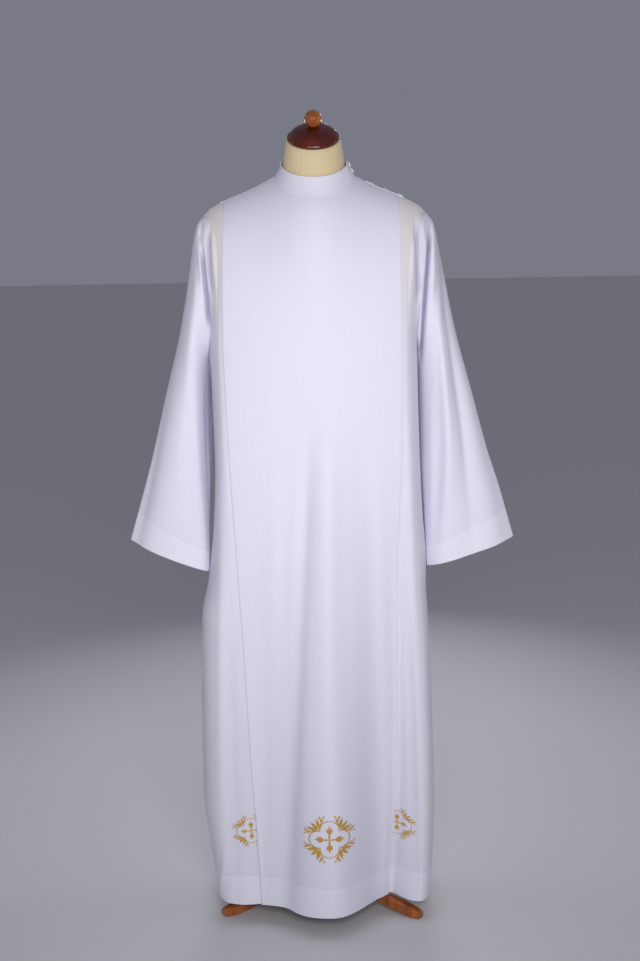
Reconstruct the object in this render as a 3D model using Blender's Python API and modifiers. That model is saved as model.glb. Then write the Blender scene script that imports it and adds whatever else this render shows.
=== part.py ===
"""Alb robe worn on a limbless dress form with a wooden tripod stand.

Metres, +Z up, the wearer faces -Y.  The origin is on the floor, at the middle of the footprint.
The alb is cut as a front panel whose two edges are folded into deep pleats, two side fronts,
a back, two wide sleeves and a stand collar that closes over the wearer's left shoulder.
"""

import math
from collections import namedtuple

import bmesh
import bpy
from mathutils import Vector
from mathutils.bvhtree import BVHTree

# ---------------------------------------------------------------- driving dimensions
OBJECT_NAME = "alb_on_dress_form"
# the garment's axis: the left sleeve hangs nearer to it, and the third leg reaches far behind it
GARMENT_X, GARMENT_Y = -0.0042, -0.0351
CLOTH = 0.0015               # one layer of cloth
HEM_CLOTH = 0.0023           # the turned-up double layer at hem and cuffs
LAYER_GAP = 0.0006           # air between folded layers
SEAM_GAP = 0.0005            # between two pieces at a seam
HEM_Z = 0.040                # hem edge above the floor
HEM_DEPTH = 0.060            # height of the turned-up hem
HEM_STEP = 0.003             # run over which the wall thickens
RING_Z = 1.185               # first level ring, just under the arms
SEAM_Y = 0.003               # side and shoulder seams lie in this plane

NECK_HALF_WIDTH = 0.080
NECK_SIDE_Z = 1.536
NECK_CROWN = 0.0205          # rise of the shoulder line carried on across the neck
NECK_FRONT_DEPTH, NECK_BACK_DEPTH = 0.097, 0.068

ARMHOLE_TOP_X, ARMHOLE_TOP_Z = 0.2255, 1.4595
ARMHOLE_LOW_X, ARMHOLE_LOW_Z = {-1: 0.2150, 1: 0.2050}, 1.1980   # by hand, -1 is +X's mirror
ARMHOLE_FRONT_DEPTH, ARMHOLE_BACK_DEPTH = 0.064, 0.068
ARMHOLE_STEP = math.pi / 6   # the armhole is cut as a polygon with a corner every step

PLEAT_TOP_LEFT, PLEAT_TOP_RIGHT = 0.184, 0.171   # pleat edges at the shoulder seam
EDGE_S = 1.045               # where the layer under the pleat comes out, past its edge
NECK_PLACE = 0.2             # share of the back's half width that is neckline
SHOULDER_SHARE = 0.147       # share of a side front's top that is shoulder, the rest armhole
CUFF_Z_OUTER, CUFF_Z_INNER = {-1: 0.794, 1: 0.788}, {-1: 0.726, 1: 0.729}
SLEEVE_FLATTEN = 0.8         # how far the cuff is pressed to a flat lens, from 0 to 1
SLEEVE_SWING = 0.016         # the inner side's front swings out and its back in, by this
CUFF_START = 0.912           # share of the sleeve's length where the cuff's hem begins

HUB = Vector((0.0, 0.028, 0.0))
LEG_TURN = math.radians(85.5)
LEG_COUNT = 3
FORM_BOTTOM_Z = 0.810
POLE_RADIUS = 0.0125
TOUCH_GAP = 0.0003

# ---------------------------------------------------------------- tables of sections
Shoulder = namedtuple("Shoulder", "x z")
SHOULDER_LINE = [
    Shoulder(NECK_HALF_WIDTH, NECK_SIDE_Z),
    Shoulder(0.127, 1.5120),
    Shoulder(0.183, 1.4890),
    Shoulder(0.210, 1.4740),
    Shoulder(ARMHOLE_TOP_X, ARMHOLE_TOP_Z),
]

# The front panel at a height: half widths to the pleat edges, how far forward the edges lie,
# the crown between them, and the rounded ridge that stands out of its middle.
Panel = namedtuple("Panel", "z left right edge_left edge_right crown ridge_x ridge ridge_width")
PANEL_LEVELS = [
    Panel(0.040, 0.131, 0.131, 0.1165, 0.057, 0.000, 0.010, 0.110, 0.093),
    Panel(0.200, 0.139, 0.144, 0.1160, 0.066, 0.001, 0.010, 0.096, 0.086),
    Panel(0.300, 0.146, 0.151, 0.1150, 0.072, 0.002, 0.010, 0.080, 0.080),
    Panel(0.540, 0.157, 0.154, 0.1130, 0.084, 0.008, 0.014, 0.047, 0.067),
    Panel(0.750, 0.168, 0.156, 0.1100, 0.092, 0.016, 0.018, 0.026, 0.060),
    Panel(0.980, 0.180, 0.168, 0.1040, 0.098, 0.024, 0.020, 0.008, 0.055),
    Panel(RING_Z, 0.187, 0.1705, 0.1000, 0.100, 0.028, 0.020, 0.000, 0.055),
]

# The sides at a height: half width at the side seams, and how far each side front
# swells forward near its pleat and near its seam.
Side = namedtuple("Side", "z left right left_near left_far right_near right_far back")
SIDE_LEVELS = [
    Side(0.040, 0.2285, 0.2215, 0.125, 0.135, 0.130, 0.160, 0.186),
    Side(0.100, 0.2360, 0.2270, 0.125, 0.133, 0.128, 0.156, 0.183),
    Side(0.270, 0.2550, 0.2320, 0.121, 0.122, 0.116, 0.138, 0.172),
    Side(0.500, 0.2535, 0.2275, 0.118, 0.108, 0.102, 0.118, 0.158),
    Side(0.640, 0.2480, 0.2220, 0.114, 0.096, 0.098, 0.100, 0.149),
    Side(0.700, 0.2355, 0.2190, 0.112, 0.086, 0.097, 0.090, 0.146),
    Side(0.740, 0.2262, 0.2160, 0.110, 0.080, 0.096, 0.084, 0.144),
    Side(0.850, 0.2170, 0.2080, 0.106, 0.074, 0.096, 0.074, 0.138),
    Side(0.950, 0.2145, 0.2025, 0.101, 0.066, 0.095, 0.066, 0.134),
    Side(1.080, 0.2130, 0.1995, 0.096, 0.060, 0.094, 0.060, 0.130),
    Side(RING_Z, 0.2140, 0.2040, 0.092, 0.055, 0.092, 0.055, 0.128),
]

# Soft folds of the back: place across it (-1 left seam, 1 right seam), half width,
# depth at the hem, and the height where the fold begins.
BackFold = namedtuple("BackFold", "place width depth start_z")
BACK_FOLDS = [
    BackFold(-0.66, 0.10, 0.016, 0.86),
    BackFold(-0.33, 0.11, 0.026, 1.02),
    BackFold(0.02, 0.09, 0.020, 1.10),
    BackFold(0.36, 0.12, 0.028, 0.96),
    BackFold(0.70, 0.09, 0.015, 0.80),
]

# How far round the back's half section a place across the cloth lies (1 is the side seam).
BackTurn = namedtuple("BackTurn", "place turn")
BACK_TURNS = [
    BackTurn(0.0, 0.0),
    BackTurn(0.2, 0.30),
    BackTurn(0.5, 0.58),
    BackTurn(0.75, 0.69),
    BackTurn(0.833, 0.74),
    BackTurn(0.917, 0.84),
    BackTurn(1.0, 1.0),
]

# The way the cloth leaves the armhole at an angle round it: inward to the body,
# away from the shoulder seam, and down.
Leaving = namedtuple("Leaving", "angle inward away down")
ARMHOLE_LEAVING = [
    Leaving(0, 0.45, 0.88, 0.12),
    Leaving(30, 0.40, 0.76, 0.50),
    Leaving(60, 0.34, 0.46, 0.82),
    Leaving(90, 0.28, 0.26, 0.92),
    Leaving(120, 0.20, 0.20, 0.96),
    Leaving(150, 0.10, 0.14, 0.98),
    Leaving(180, 0.00, 0.10, 0.99),
]

# The sleeve's outer line and its two inner lines, which hang beside the body.
SleeveOuter = namedtuple("SleeveOuter", "z left right")
SLEEVE_OUTER = [
    SleeveOuter(0.788, 0.3957, 0.4025),
    SleeveOuter(0.905, 0.3610, 0.3700),
    SleeveOuter(0.964, 0.3445, 0.3510),
    SleeveOuter(1.088, 0.3140, 0.3185),
    SleeveOuter(1.230, 0.2785, 0.2820),
    SleeveOuter(1.349, 0.2570, 0.2590),
    SleeveOuter(1.386, 0.2515, 0.2520),
    SleeveOuter(1.410, 0.2475, 0.2475),
    SleeveOuter(1.440, 0.2405, 0.2405),
    SleeveOuter(ARMHOLE_TOP_Z, ARMHOLE_TOP_X, ARMHOLE_TOP_X),
]
SleeveInner = namedtuple("SleeveInner", "z left right")
SLEEVE_INNER = [
    SleeveInner(0.726, 0.2335, 0.2240),
    SleeveInner(0.780, 0.2295, 0.2195),
    SleeveInner(0.850, 0.2255, 0.2150),
    SleeveInner(0.950, 0.2215, 0.2090),
    SleeveInner(1.050, 0.2190, 0.2060),
    SleeveInner(1.150, 0.2185, 0.2055),
    SleeveInner(ARMHOLE_LOW_Z, ARMHOLE_LOW_X[-1], ARMHOLE_LOW_X[1]),
]
SleeveDepth = namedtuple("SleeveDepth", "share front back")
SLEEVE_DEPTH = [
    SleeveDepth(0.0, ARMHOLE_FRONT_DEPTH, ARMHOLE_BACK_DEPTH),
    SleeveDepth(0.3, 0.062, 0.068),
    SleeveDepth(0.6, 0.056, 0.066),
    SleeveDepth(1.0, 0.048, 0.062),
]

# Folds of a sleeve: angle round it (0 outer, 90 front, 180 inner), half width in degrees,
# depth, and the shares of its length where the fold begins, is deepest and ends.
SleeveFold = namedtuple("SleeveFold", "angle width depth begin deepest end")
SLEEVE_FOLDS = [
    SleeveFold(48, 20, 0.0110, 0.00, 0.12, 0.34),
    SleeveFold(312, 20, 0.0095, 0.00, 0.14, 0.38),
    SleeveFold(78, 14, -0.0045, 0.00, 0.10, 0.26),
    SleeveFold(118, 24, 0.0080, 0.10, 0.75, 1.30),
    SleeveFold(64, 26, -0.0050, 0.30, 1.00, 1.40),
    SleeveFold(20, 16, 0.0045, 0.45, 1.00, 1.40),
    SleeveFold(250, 26, 0.0080, 0.15, 0.85, 1.40),
    SleeveFold(300, 22, -0.0055, 0.35, 1.00, 1.40),
]

# The dress form's level sections: half width, depth forward and back, and the exponent
# of the rounded outline (2 is an ellipse, less is leaner towards the shoulders).
Form = namedtuple("Form", "z half_width front back exponent")
FORM_SECTIONS = [
    Form(FORM_BOTTOM_Z, 0.160, 0.086, 0.094, 2.3),
    Form(0.835, 0.168, 0.094, 0.102, 2.3),
    Form(0.900, 0.168, 0.097, 0.102, 2.3),
    Form(1.000, 0.156, 0.090, 0.088, 2.2),
    Form(1.090, 0.163, 0.098, 0.092, 2.2),
    Form(1.185, 0.176, 0.108, 0.101, 2.2),
    Form(1.280, 0.187, 0.112, 0.105, 2.2),
    Form(1.350, 0.197, 0.110, 0.104, 2.1),
    Form(1.400, 0.205, 0.102, 0.098, 2.0),
    Form(1.435, 0.209, 0.092, 0.090, 1.9),
]
FORM_SHOULDER_X = [0.208, 0.198, 0.183, 0.160, 0.135, 0.110]
FORM_TOP = Form(1.5250, 0.0880, 0.074, 0.062, 1.8)
SHOULDER_DROP = 0.0072       # from the cloth's outer shoulder line down to the form
FORM_CLEAR = 0.0024          # the form keeps this clear of the cloth that lies on it

# Rings of the form's neck: centre, half width, half depth and how far it leans forward.
Neck = namedtuple("Neck", "y z half_width half_depth lean_deg")
NECK_RINGS = [
    Neck(-0.0050, FORM_TOP.z + TOUCH_GAP, 0.0710, 0.0620, 0),
    Neck(-0.0080, 1.5400, 0.0665, 0.0645, 8),
    Neck(-0.0110, 1.5600, 0.0622, 0.0645, 17),
    Neck(-0.0145, 1.5820, 0.0590, 0.0610, 22),
    Neck(-0.0190, 1.6030, 0.0565, 0.0575, 25),
    Neck(-0.0210, 1.6075, 0.0525, 0.0535, 25),
]
CAP_LEAN, CAP_DOME = math.radians(25), 0.0285
CAP_SEAT = Vector((0.0, -0.0212, 1.6079))

# A leg from the hub outward: its underside and top at a distance from the hub's axis.
Leg = namedtuple("Leg", "reach underside top half_width")
LEG_SECTIONS = [
    Leg(0.0343, 0.070, 0.104, 0.0120),
    Leg(0.070, 0.048, 0.080, 0.0120),
    Leg(0.100, 0.034, 0.060, 0.0120),
    Leg(0.130, 0.021, 0.0405, 0.0120),
    Leg(0.155, 0.0145, 0.0360, 0.0120),
    Leg(0.180, 0.0075, 0.0320, 0.0120),
    Leg(0.203, 0.0025, 0.0270, 0.0120),
    Leg(0.216, 0.000, 0.0235, 0.0120),
    Leg(0.236, 0.000, 0.0170, 0.0110),
    Leg(0.240, 0.002, 0.0140, 0.0095),
]

# ---------------------------------------------------------------- where the meshes have points
UPPER_ROWS = [0.0, 0.09, 0.20, 0.34, 0.52, 0.75, 1.0]
LEVEL_ROWS = [1.08, 0.96, 0.84, 0.75, 0.70, 0.64, 0.52, 0.38, 0.24,
              HEM_Z + HEM_DEPTH + HEM_STEP, HEM_Z + HEM_DEPTH, HEM_Z]
PLEAT_COLUMNS = [0.73, 0.80, 0.87, 0.94, 1.0]
NECK_ANGLES = [20, 40, 58, 74, 90]
NECK_TURNS = [math.sin(math.radians(angle)) for angle in NECK_ANGLES]
PANEL_SHOULDER_X = 0.104
ARMHOLE_TURNS = [math.radians(angle) for angle in (0, 30, 60, 90, 120, 150, 165, 180)]
SHOULDER_PLACES = [0.26, 0.34, 0.42]
SLEEVE_ROWS = [0.0, 0.045, 0.10, 0.17, 0.26, 0.37, 0.50, 0.64, 0.78, CUFF_START - 0.004,
               CUFF_START, 1.0]
SLEEVE_COLUMN_COUNT = 24
COLLAR_ROWS = [0.0, 0.35, 0.7, 1.0]


# ---------------------------------------------------------------- small tools
def lookup(rows, column, at):
    """Read a column smoothly against the rows' first column, without overshoot."""
    rows = sorted(rows, key=lambda row: row[0])
    keys = [row[0] for row in rows]
    values = [getattr(row, column) for row in rows]
    if at <= keys[0]:
        return values[0]
    if at >= keys[-1]:
        return values[-1]
    slopes = [(values[i + 1] - values[i]) / (keys[i + 1] - keys[i]) for i in range(len(keys) - 1)]
    tangents = [slopes[0]]
    for before, after in zip(slopes, slopes[1:]):
        same_way = before * after > 0
        tangents.append(2 * before * after / (before + after) if same_way else 0.0)
    tangents.append(slopes[-1])
    i = max(k for k in range(len(keys) - 1) if keys[k] <= at)
    run = keys[i + 1] - keys[i]
    t = (at - keys[i]) / run
    a, b, c, d = hermite_weights(t)
    return a * values[i] + b * run * tangents[i] + c * values[i + 1] + d * run * tangents[i + 1]


def hermite_weights(t):
    return (2 * t**3 - 3 * t**2 + 1, t**3 - 2 * t**2 + t, -2 * t**3 + 3 * t**2, t**3 - t**2)


def ease(t):
    t = min(1.0, max(0.0, t))
    return t * t * (3 - 2 * t)


def bell(t):
    return math.exp(-t * t)


def material(name, colour, roughness, metallic=0.0):
    made = bpy.data.materials.new(name)
    made.use_nodes = True
    shader = made.node_tree.nodes["Principled BSDF"]
    shader.inputs["Base Color"].default_value = (*colour, 1.0)
    shader.inputs["Roughness"].default_value = roughness
    shader.inputs["Metallic"].default_value = metallic
    return made


def add_object(name, mesh, finish, smooth_deg=40):
    """Put a mesh in the collection as a named part that moves with the root empty."""
    made = bpy.data.objects.new(name, mesh)
    PARTS.objects.link(made)
    made.parent = ROOT
    mesh.materials.append(finish)
    mesh.shade_smooth()
    mesh.set_sharp_from_angle(angle=math.radians(smooth_deg))
    return made


def wall(name, outer, inner, finish, closed=False):
    """A closed cloth wall between two grids of points, given row by row."""
    shape = bmesh.new()
    sheets = [[[shape.verts.new(point) for point in row] for row in grid] for grid in (outer, inner)]
    rows, columns = len(outer), len(outer[0])
    steps = columns if closed else columns - 1
    for r in range(rows - 1):
        for c in range(steps):
            n = (c + 1) % columns
            # every layer's diagonals slant the same way, so that thin layers stay apart
            left, right = (n, c) if outer[r][n][0] < outer[r][c][0] else (c, n)
            for sheet in sheets:
                shape.faces.new((sheet[r][left], sheet[r][right], sheet[r + 1][left]))
                shape.faces.new((sheet[r][right], sheet[r + 1][right], sheet[r + 1][left]))
    face, lining = sheets
    for r in (0, rows - 1):
        for c in range(steps):
            n = (c + 1) % columns
            shape.faces.new((face[r][c], face[r][n], lining[r][n], lining[r][c]))
    if not closed:
        for c in (0, columns - 1):
            for r in range(rows - 1):
                shape.faces.new((face[r][c], face[r + 1][c], lining[r + 1][c], lining[r][c]))
    return finish_bmesh(name, shape, finish)


def loft(name, rings, finish, smooth_deg=40):
    """A closed solid through rings of equal length, capped flat at both ends."""
    shape = bmesh.new()
    loops = [[shape.verts.new(point) for point in ring] for ring in rings]
    count = len(loops[0])
    for low, high in zip(loops, loops[1:]):
        for i in range(count):
            n = (i + 1) % count
            shape.faces.new((low[i], low[n], high[n], high[i]))
    shape.faces.new(loops[0])
    shape.faces.new(loops[-1])
    return finish_bmesh(name, shape, finish, smooth_deg)


def finish_bmesh(name, shape, finish, smooth_deg=40):
    bmesh.ops.recalc_face_normals(shape, faces=shape.faces)
    mesh = bpy.data.meshes.new(name)
    shape.to_mesh(mesh)
    shape.free()
    return add_object(name, mesh, finish, smooth_deg)


def turned(name, profile, finish, steps=32):
    """A turned piece: the profile (radius, height) runs from the top down its outer side."""
    mesh = bpy.data.meshes.new(name)
    points = [(radius, 0.0, height) for radius, height in profile]
    mesh.from_pydata(points, [(i, i + 1) for i in range(len(points) - 1)], [])
    made = add_object(name, mesh, finish)
    screw = made.modifiers.new("turn", "SCREW")
    screw.steps = steps
    screw.render_steps = steps
    screw.use_merge_vertices = True
    screw.merge_threshold = 0.00001
    screw.use_smooth_shade = True
    return made


def arc(centre, radius, start_deg, end_deg, count):
    """Points (radius, height) of an arc in a turned profile."""
    angles = [math.radians(start_deg + (end_deg - start_deg) * i / count) for i in range(count + 1)]
    return [(centre[0] + radius * math.cos(a), centre[1] + radius * math.sin(a)) for a in angles]


# ---------------------------------------------------------------- the garment's surface
def shoulder_z(x):
    """Height of the shoulder line, carried on across the neck as if it had no opening."""
    if abs(x) < NECK_HALF_WIDTH:
        return NECK_SIDE_Z + NECK_CROWN * (1 - (x / NECK_HALF_WIDTH) ** 2)
    return lookup(SHOULDER_LINE, "z", abs(x))


def neckline(turn, front):
    """A point of the collar seam, which is cut as a polygon with its corners at NECK_TURNS;
    turn is the sine of the angle from front or back centre."""
    corners = [0.0] + NECK_TURNS
    i = max(k for k in range(len(corners) - 1) if corners[k] <= abs(turn))
    share = (abs(turn) - corners[i]) / (corners[i + 1] - corners[i])
    ends = [math.copysign(corner, turn) for corner in corners[i:i + 2]]
    if front:
        first, last = (panel_point(end * NECK_HALF_WIDTH / pleat_top(end), 0) for end in ends)
    else:
        first, last = (back_point(end * NECK_PLACE, 0) for end in ends)
    return first.lerp(last, share)


def armhole_curve(hand, angle, front):
    top = Vector((ARMHOLE_TOP_X, SEAM_Y, ARMHOLE_TOP_Z))
    low = Vector((ARMHOLE_LOW_X[hand], SEAM_Y, ARMHOLE_LOW_Z))
    depth = -ARMHOLE_FRONT_DEPTH if front else ARMHOLE_BACK_DEPTH
    spoke = (top - low) / 2 * math.cos(angle) + Vector((0, depth * math.sin(angle), 0))
    point = (top + low) / 2 + spoke
    return Vector((hand * point.x, point.y, point.z))


def armhole(hand, angle, front):
    """A point of the cut armhole, from the shoulder point (0) to the underarm (pi)."""
    corner = math.floor(angle / ARMHOLE_STEP + 1e-9)
    share = angle / ARMHOLE_STEP - corner
    first = armhole_curve(hand, corner * ARMHOLE_STEP, front)
    return first.lerp(armhole_curve(hand, (corner + 1) * ARMHOLE_STEP, front), share)


def side_word(place):
    return "right" if place > 0 else "left"


def panel_level(s, z):
    """The front panel at a height; s is -1 and 1 at its pleat edges."""
    left, right = lookup(PANEL_LEVELS, "left", z), lookup(PANEL_LEVELS, "right", z)
    x = s * (right if s > 0 else left)
    edge_left = lookup(PANEL_LEVELS, "edge_left", z)
    edge_right = lookup(PANEL_LEVELS, "edge_right", z)
    edge = edge_left + (edge_right - edge_left) * (x + left) / (left + right)
    crown = lookup(PANEL_LEVELS, "crown", z) * (1 - s * s)
    off = abs(x - lookup(PANEL_LEVELS, "ridge_x", z)) / lookup(PANEL_LEVELS, "ridge_width", z)
    ridge = lookup(PANEL_LEVELS, "ridge", z) * math.exp(-off**3)
    return Vector((x, -(edge + crown + ridge), z))


def side_level(hand, t, z):
    """A side front at a height, from under the pleat (0) to the side seam (1)."""
    word = side_word(hand)
    start = panel_level(hand * EDGE_S, z)
    half = lookup(SIDE_LEVELS, word, z)
    near_x = abs(start.x) + 0.5 * (half - abs(start.x))
    near = Vector((hand * near_x, -lookup(SIDE_LEVELS, word + "_near", z), z))
    far = Vector((hand * half, -lookup(SIDE_LEVELS, word + "_far", z), z))
    end = Vector((hand * half, SEAM_Y, z))
    u = 1 - t
    return u**3 * start + 3 * u * u * t * near + 3 * u * t * t * far + t**3 * end


def back_level(b, z):
    """The back at a height, from the left seam (-1) to the right seam (1)."""
    angle = lookup(BACK_TURNS, "turn", abs(b)) * math.pi / 2
    half = lookup(SIDE_LEVELS, side_word(b), z)
    depth = lookup(SIDE_LEVELS, "back", z)
    x = math.copysign(half * math.sin(angle) ** (2 / 2.5), b)
    y = depth * max(0.0, math.cos(angle)) ** (2 / 2.5)
    for fold in BACK_FOLDS:
        growth = ease((fold.start_z - z) / (fold.start_z - HEM_Z))
        y -= fold.depth * growth * bell((b - fold.place) / fold.width)
    return Vector((x, SEAM_Y + y, z))


def thread(top, below, lean, w):
    """A thread of the cloth from the shoulder line (w 0) down to the first level ring (w 1)."""
    span = (top - below).length
    a, b, c, d = hermite_weights(w)
    return a * top + b * span * lean + c * below + d * span * Vector((0, 0, -1))


def neck_cut(top, below, lean, depth):
    """Where a thread that starts over the neck opening crosses the collar seam."""
    if abs(top.x) >= NECK_HALF_WIDTH:
        return 0.0
    reach = depth * math.sqrt(1 - (top.x / NECK_HALF_WIDTH) ** 2)
    low, high = 0.0, 0.6
    for _ in range(24):
        middle = (low + high) / 2
        crossed = abs(thread(top, below, lean, middle).y - SEAM_Y) > reach
        low, high = (low, middle) if crossed else (middle, high)
    return low


def hang(top, below, lean, v, level, neck_depth=0.0):
    """A point of the cloth: from its cut edge (v 0) along a thread to the first level ring
    (v 1), then down through the levels, a metre for each unit of v."""
    if v >= 1:
        return level(RING_Z - (v - 1))
    cut = neck_cut(top, below, lean, neck_depth)
    return thread(top, below, lean, cut + (1 - cut) * v)


SHOULDER_LEAN, NECK_FRONT_LEAN, NECK_BACK_LEAN = (0, 0.92, -0.40), (0, 1.25, -0.25), (0, 1.20, 0.10)
NECK_LEAN_WIDTH = 0.070      # how far from the middle the neck's own lean is felt


def towards(lean, front):
    """A lean given away from the shoulder seam, turned to the front or the back."""
    across, away, up = lean
    return Vector((across, -away if front else away, up))


def shoulder_lean(x, front):
    """The way a thread leaves the shoulder line, which is flatter over the neck."""
    neck_lean = NECK_FRONT_LEAN if front else NECK_BACK_LEAN
    share = bell(x / NECK_LEAN_WIDTH)
    return towards(SHOULDER_LEAN, front).lerp(towards(neck_lean, front), share)


def armhole_lean(hand, angle, front):
    degrees = math.degrees(angle)
    inward, away, down = (lookup(ARMHOLE_LEAVING, word, degrees) for word in ("inward", "away", "down"))
    return towards((-hand * inward, away, -down), front)


def pleat_top(place):
    return PLEAT_TOP_RIGHT if place > 0 else PLEAT_TOP_LEFT


def panel_point(s, v):
    x = s * pleat_top(s)
    top = Vector((x, SEAM_Y, shoulder_z(x)))
    below, lean = panel_level(s, RING_Z), shoulder_lean(x, True)
    return hang(top, below, lean, v, lambda z: panel_level(s, z), NECK_FRONT_DEPTH)


def side_point(hand, t, v):
    start = EDGE_S * pleat_top(hand)
    if t <= SHOULDER_SHARE:
        x = start + (ARMHOLE_TOP_X - start) * t / SHOULDER_SHARE
        top = Vector((hand * x, SEAM_Y, shoulder_z(x)))
        lean = shoulder_lean(x, True).lerp(armhole_lean(hand, 0, True), t / SHOULDER_SHARE)
    else:
        angle = math.pi * (t - SHOULDER_SHARE) / (1 - SHOULDER_SHARE)
        top = armhole(hand, angle, True)
        lean = armhole_lean(hand, angle, True)
    below = side_level(hand, t, RING_Z)
    return hang(top, below, lean, v, lambda z: side_level(hand, t, z))


def back_point(b, v):
    place, hand = abs(b), math.copysign(1, b)
    if place <= 0.5:
        past_neck = max(0.0, (place - NECK_PLACE) / (0.5 - NECK_PLACE))
        x = NECK_HALF_WIDTH * min(1.0, place / NECK_PLACE)
        x += (ARMHOLE_TOP_X - NECK_HALF_WIDTH) * past_neck
        top = Vector((hand * x, SEAM_Y, shoulder_z(x)))
        lean = shoulder_lean(x, False).lerp(armhole_lean(hand, 0, False), ease(past_neck * 3 - 2))
    else:
        angle = math.pi * (place - 0.5) / 0.5
        top = armhole(hand, angle, False)
        lean = armhole_lean(hand, angle, False)
    below = back_level(b, RING_Z)
    point = hang(top, below, lean, v, lambda z: back_level(b, z), NECK_BACK_DEPTH)
    return point + Vector((0, SEAM_GAP, 0))


def normal_at(point, u, v, sign, lowest_u=None, highest_u=None):
    """The outward normal of a surface, from small steps along both its directions.
    The sign says which way the first direction runs round the body."""
    step = 0.004
    u0 = u - step if lowest_u is None else max(lowest_u, u - step)
    u1 = u + step if highest_u is None else min(highest_u, u + step)
    v0, v1 = max(0.0, v - step), v + step
    across = point(u1, v) - point(u0, v)
    down = point(u, v1) - point(u, v0)
    return across.cross(down).normalized() * sign


def armhole_normal(normal, angle):
    """At the armhole the upper part of both walls is mitred in one plane across the arm."""
    share = ease((angle - math.pi / 2) / (math.pi / 3))
    return Vector((normal.x * share, normal.y, normal.z)).normalized()


def level_normal(normal):
    """At a seam the two walls share one mitre plane, so the normal has no part across it."""
    return Vector((normal.x, 0, normal.z)).normalized()


def rows_of_garment():
    return UPPER_ROWS + [1 + RING_Z - z for z in LEVEL_ROWS]


def thickness(v):
    in_hem = v > 1 + RING_Z - (HEM_Z + HEM_DEPTH) - 1e-6
    return HEM_CLOTH if in_hem else CLOTH


# ---------------------------------------------------------------- cloth pieces
def panel_frame(s, v):
    """Point, normal and direction across the front panel."""
    normal = normal_at(panel_point, s, v, -1)
    if v == 0 and abs(s * pleat_top(s)) > NECK_HALF_WIDTH - 1e-6:
        normal = level_normal(normal)
    across = (panel_point(s + 0.004, v) - panel_point(s - 0.004, v)).normalized()
    return panel_point(s, v), normal, across


def front_panel_row(v):
    """The panel, its two folded edges and the returns behind them, as outer and inner points."""
    cloth = thickness(v)
    middle = cloth + LAYER_GAP / 2
    outer, inner = [], []

    def layer(s, outer_depth, inner_depth):
        point, normal, _ = panel_frame(s, v)
        outer.append(point - normal * outer_depth)
        inner.append(point - normal * inner_depth)

    def fold(hand, angles):
        point, normal, across = panel_frame(hand, v)
        for angle in map(math.radians, angles):
            for points, radius in ((outer, cloth + LAYER_GAP / 2), (inner, LAYER_GAP / 2)):
                depth = middle - radius * math.cos(angle)
                points.append(point + across * hand * radius * math.sin(angle) - normal * depth)

    behind = 2 * cloth + LAYER_GAP
    for s in PLEAT_COLUMNS:
        layer(-s, behind, cloth + LAYER_GAP)
    fold(-1, (120, 60))
    for s in reversed(PLEAT_COLUMNS):
        layer(-s, 0, cloth)
    for s in reversed(middle_columns(-1)):
        layer(-s, 0, cloth)
    for s in [0.0] + middle_columns(1) + PLEAT_COLUMNS:
        layer(s, 0, cloth)
    fold(1, (60, 120))
    for s in reversed(PLEAT_COLUMNS):
        layer(s, behind, cloth + LAYER_GAP)
    return outer, inner


def middle_columns(hand):
    """Columns between the middle of the panel and its pleat, some of them at the neck."""
    places = [turn * NECK_HALF_WIDTH for turn in NECK_TURNS] + [PANEL_SHOULDER_X]
    return [x / pleat_top(hand) for x in places]


def front_panel():
    rows = [front_panel_row(v) for v in rows_of_garment()]
    return wall("front_panel", [row[0] for row in rows], [row[1] for row in rows], CLOTH_FINISH)


def side_front_row(hand, v):
    """A side front: its part under the pleat, then out to the armhole or side seam."""
    cloth = thickness(v)
    depth = 2 * (cloth + LAYER_GAP)
    outer, inner = [], []

    def layer(point, normal, sunk):
        outer.append(point - normal * sunk)
        inner.append(point - normal * (sunk + cloth))

    def side_surface(t, w):
        return side_point(hand, t, w)

    for s in PLEAT_COLUMNS:
        point, normal, _ = panel_frame(hand * s, v)
        layer(point, normal, depth)
    point, normal, _ = panel_frame(hand * EDGE_S, v)
    beside = normal_at(side_surface, 0.002, v, -hand, 0.0)
    if v == 0:
        beside = level_normal(beside)
    layer(point, (normal + beside).normalized(), depth)
    for t, turn in side_columns():
        normal = normal_at(side_surface, t, v, -hand, 0.0, 1.0)
        if t == 1 or (v == 0 and turn == 0):
            normal = level_normal(normal)
        elif v == 0:
            normal = armhole_normal(normal, turn)
        hanging = (1 - t) ** 1.5
        at_seam = max(0.0, 1 - t / SHOULDER_SHARE)
        sunk = depth * (at_seam + (hanging - at_seam) * ease(v / 0.5))
        layer(side_point(hand, t, v), normal, sunk)
    return outer, inner


def side_columns():
    """Places across a side front past its pleat, each with its angle round the armhole."""
    along_armhole = [(SHOULDER_SHARE + (1 - SHOULDER_SHARE) * turn / math.pi, turn)
                     for turn in ARMHOLE_TURNS]
    return [(SHOULDER_SHARE * 0.68, 0.0)] + along_armhole


def side_front(name, hand):
    rows = [side_front_row(hand, v) for v in rows_of_garment()]
    return wall(name, [row[0] for row in rows], [row[1] for row in rows], CLOTH_FINISH)


def back_columns():
    """Places across the back from its middle, each with its angle round the armhole."""
    columns = [(NECK_PLACE * turn, 0.0) for turn in NECK_TURNS]
    columns += [(place, 0.0) for place in SHOULDER_PLACES]
    return columns + [(0.5 + 0.5 * turn / math.pi, turn) for turn in ARMHOLE_TURNS]


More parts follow.
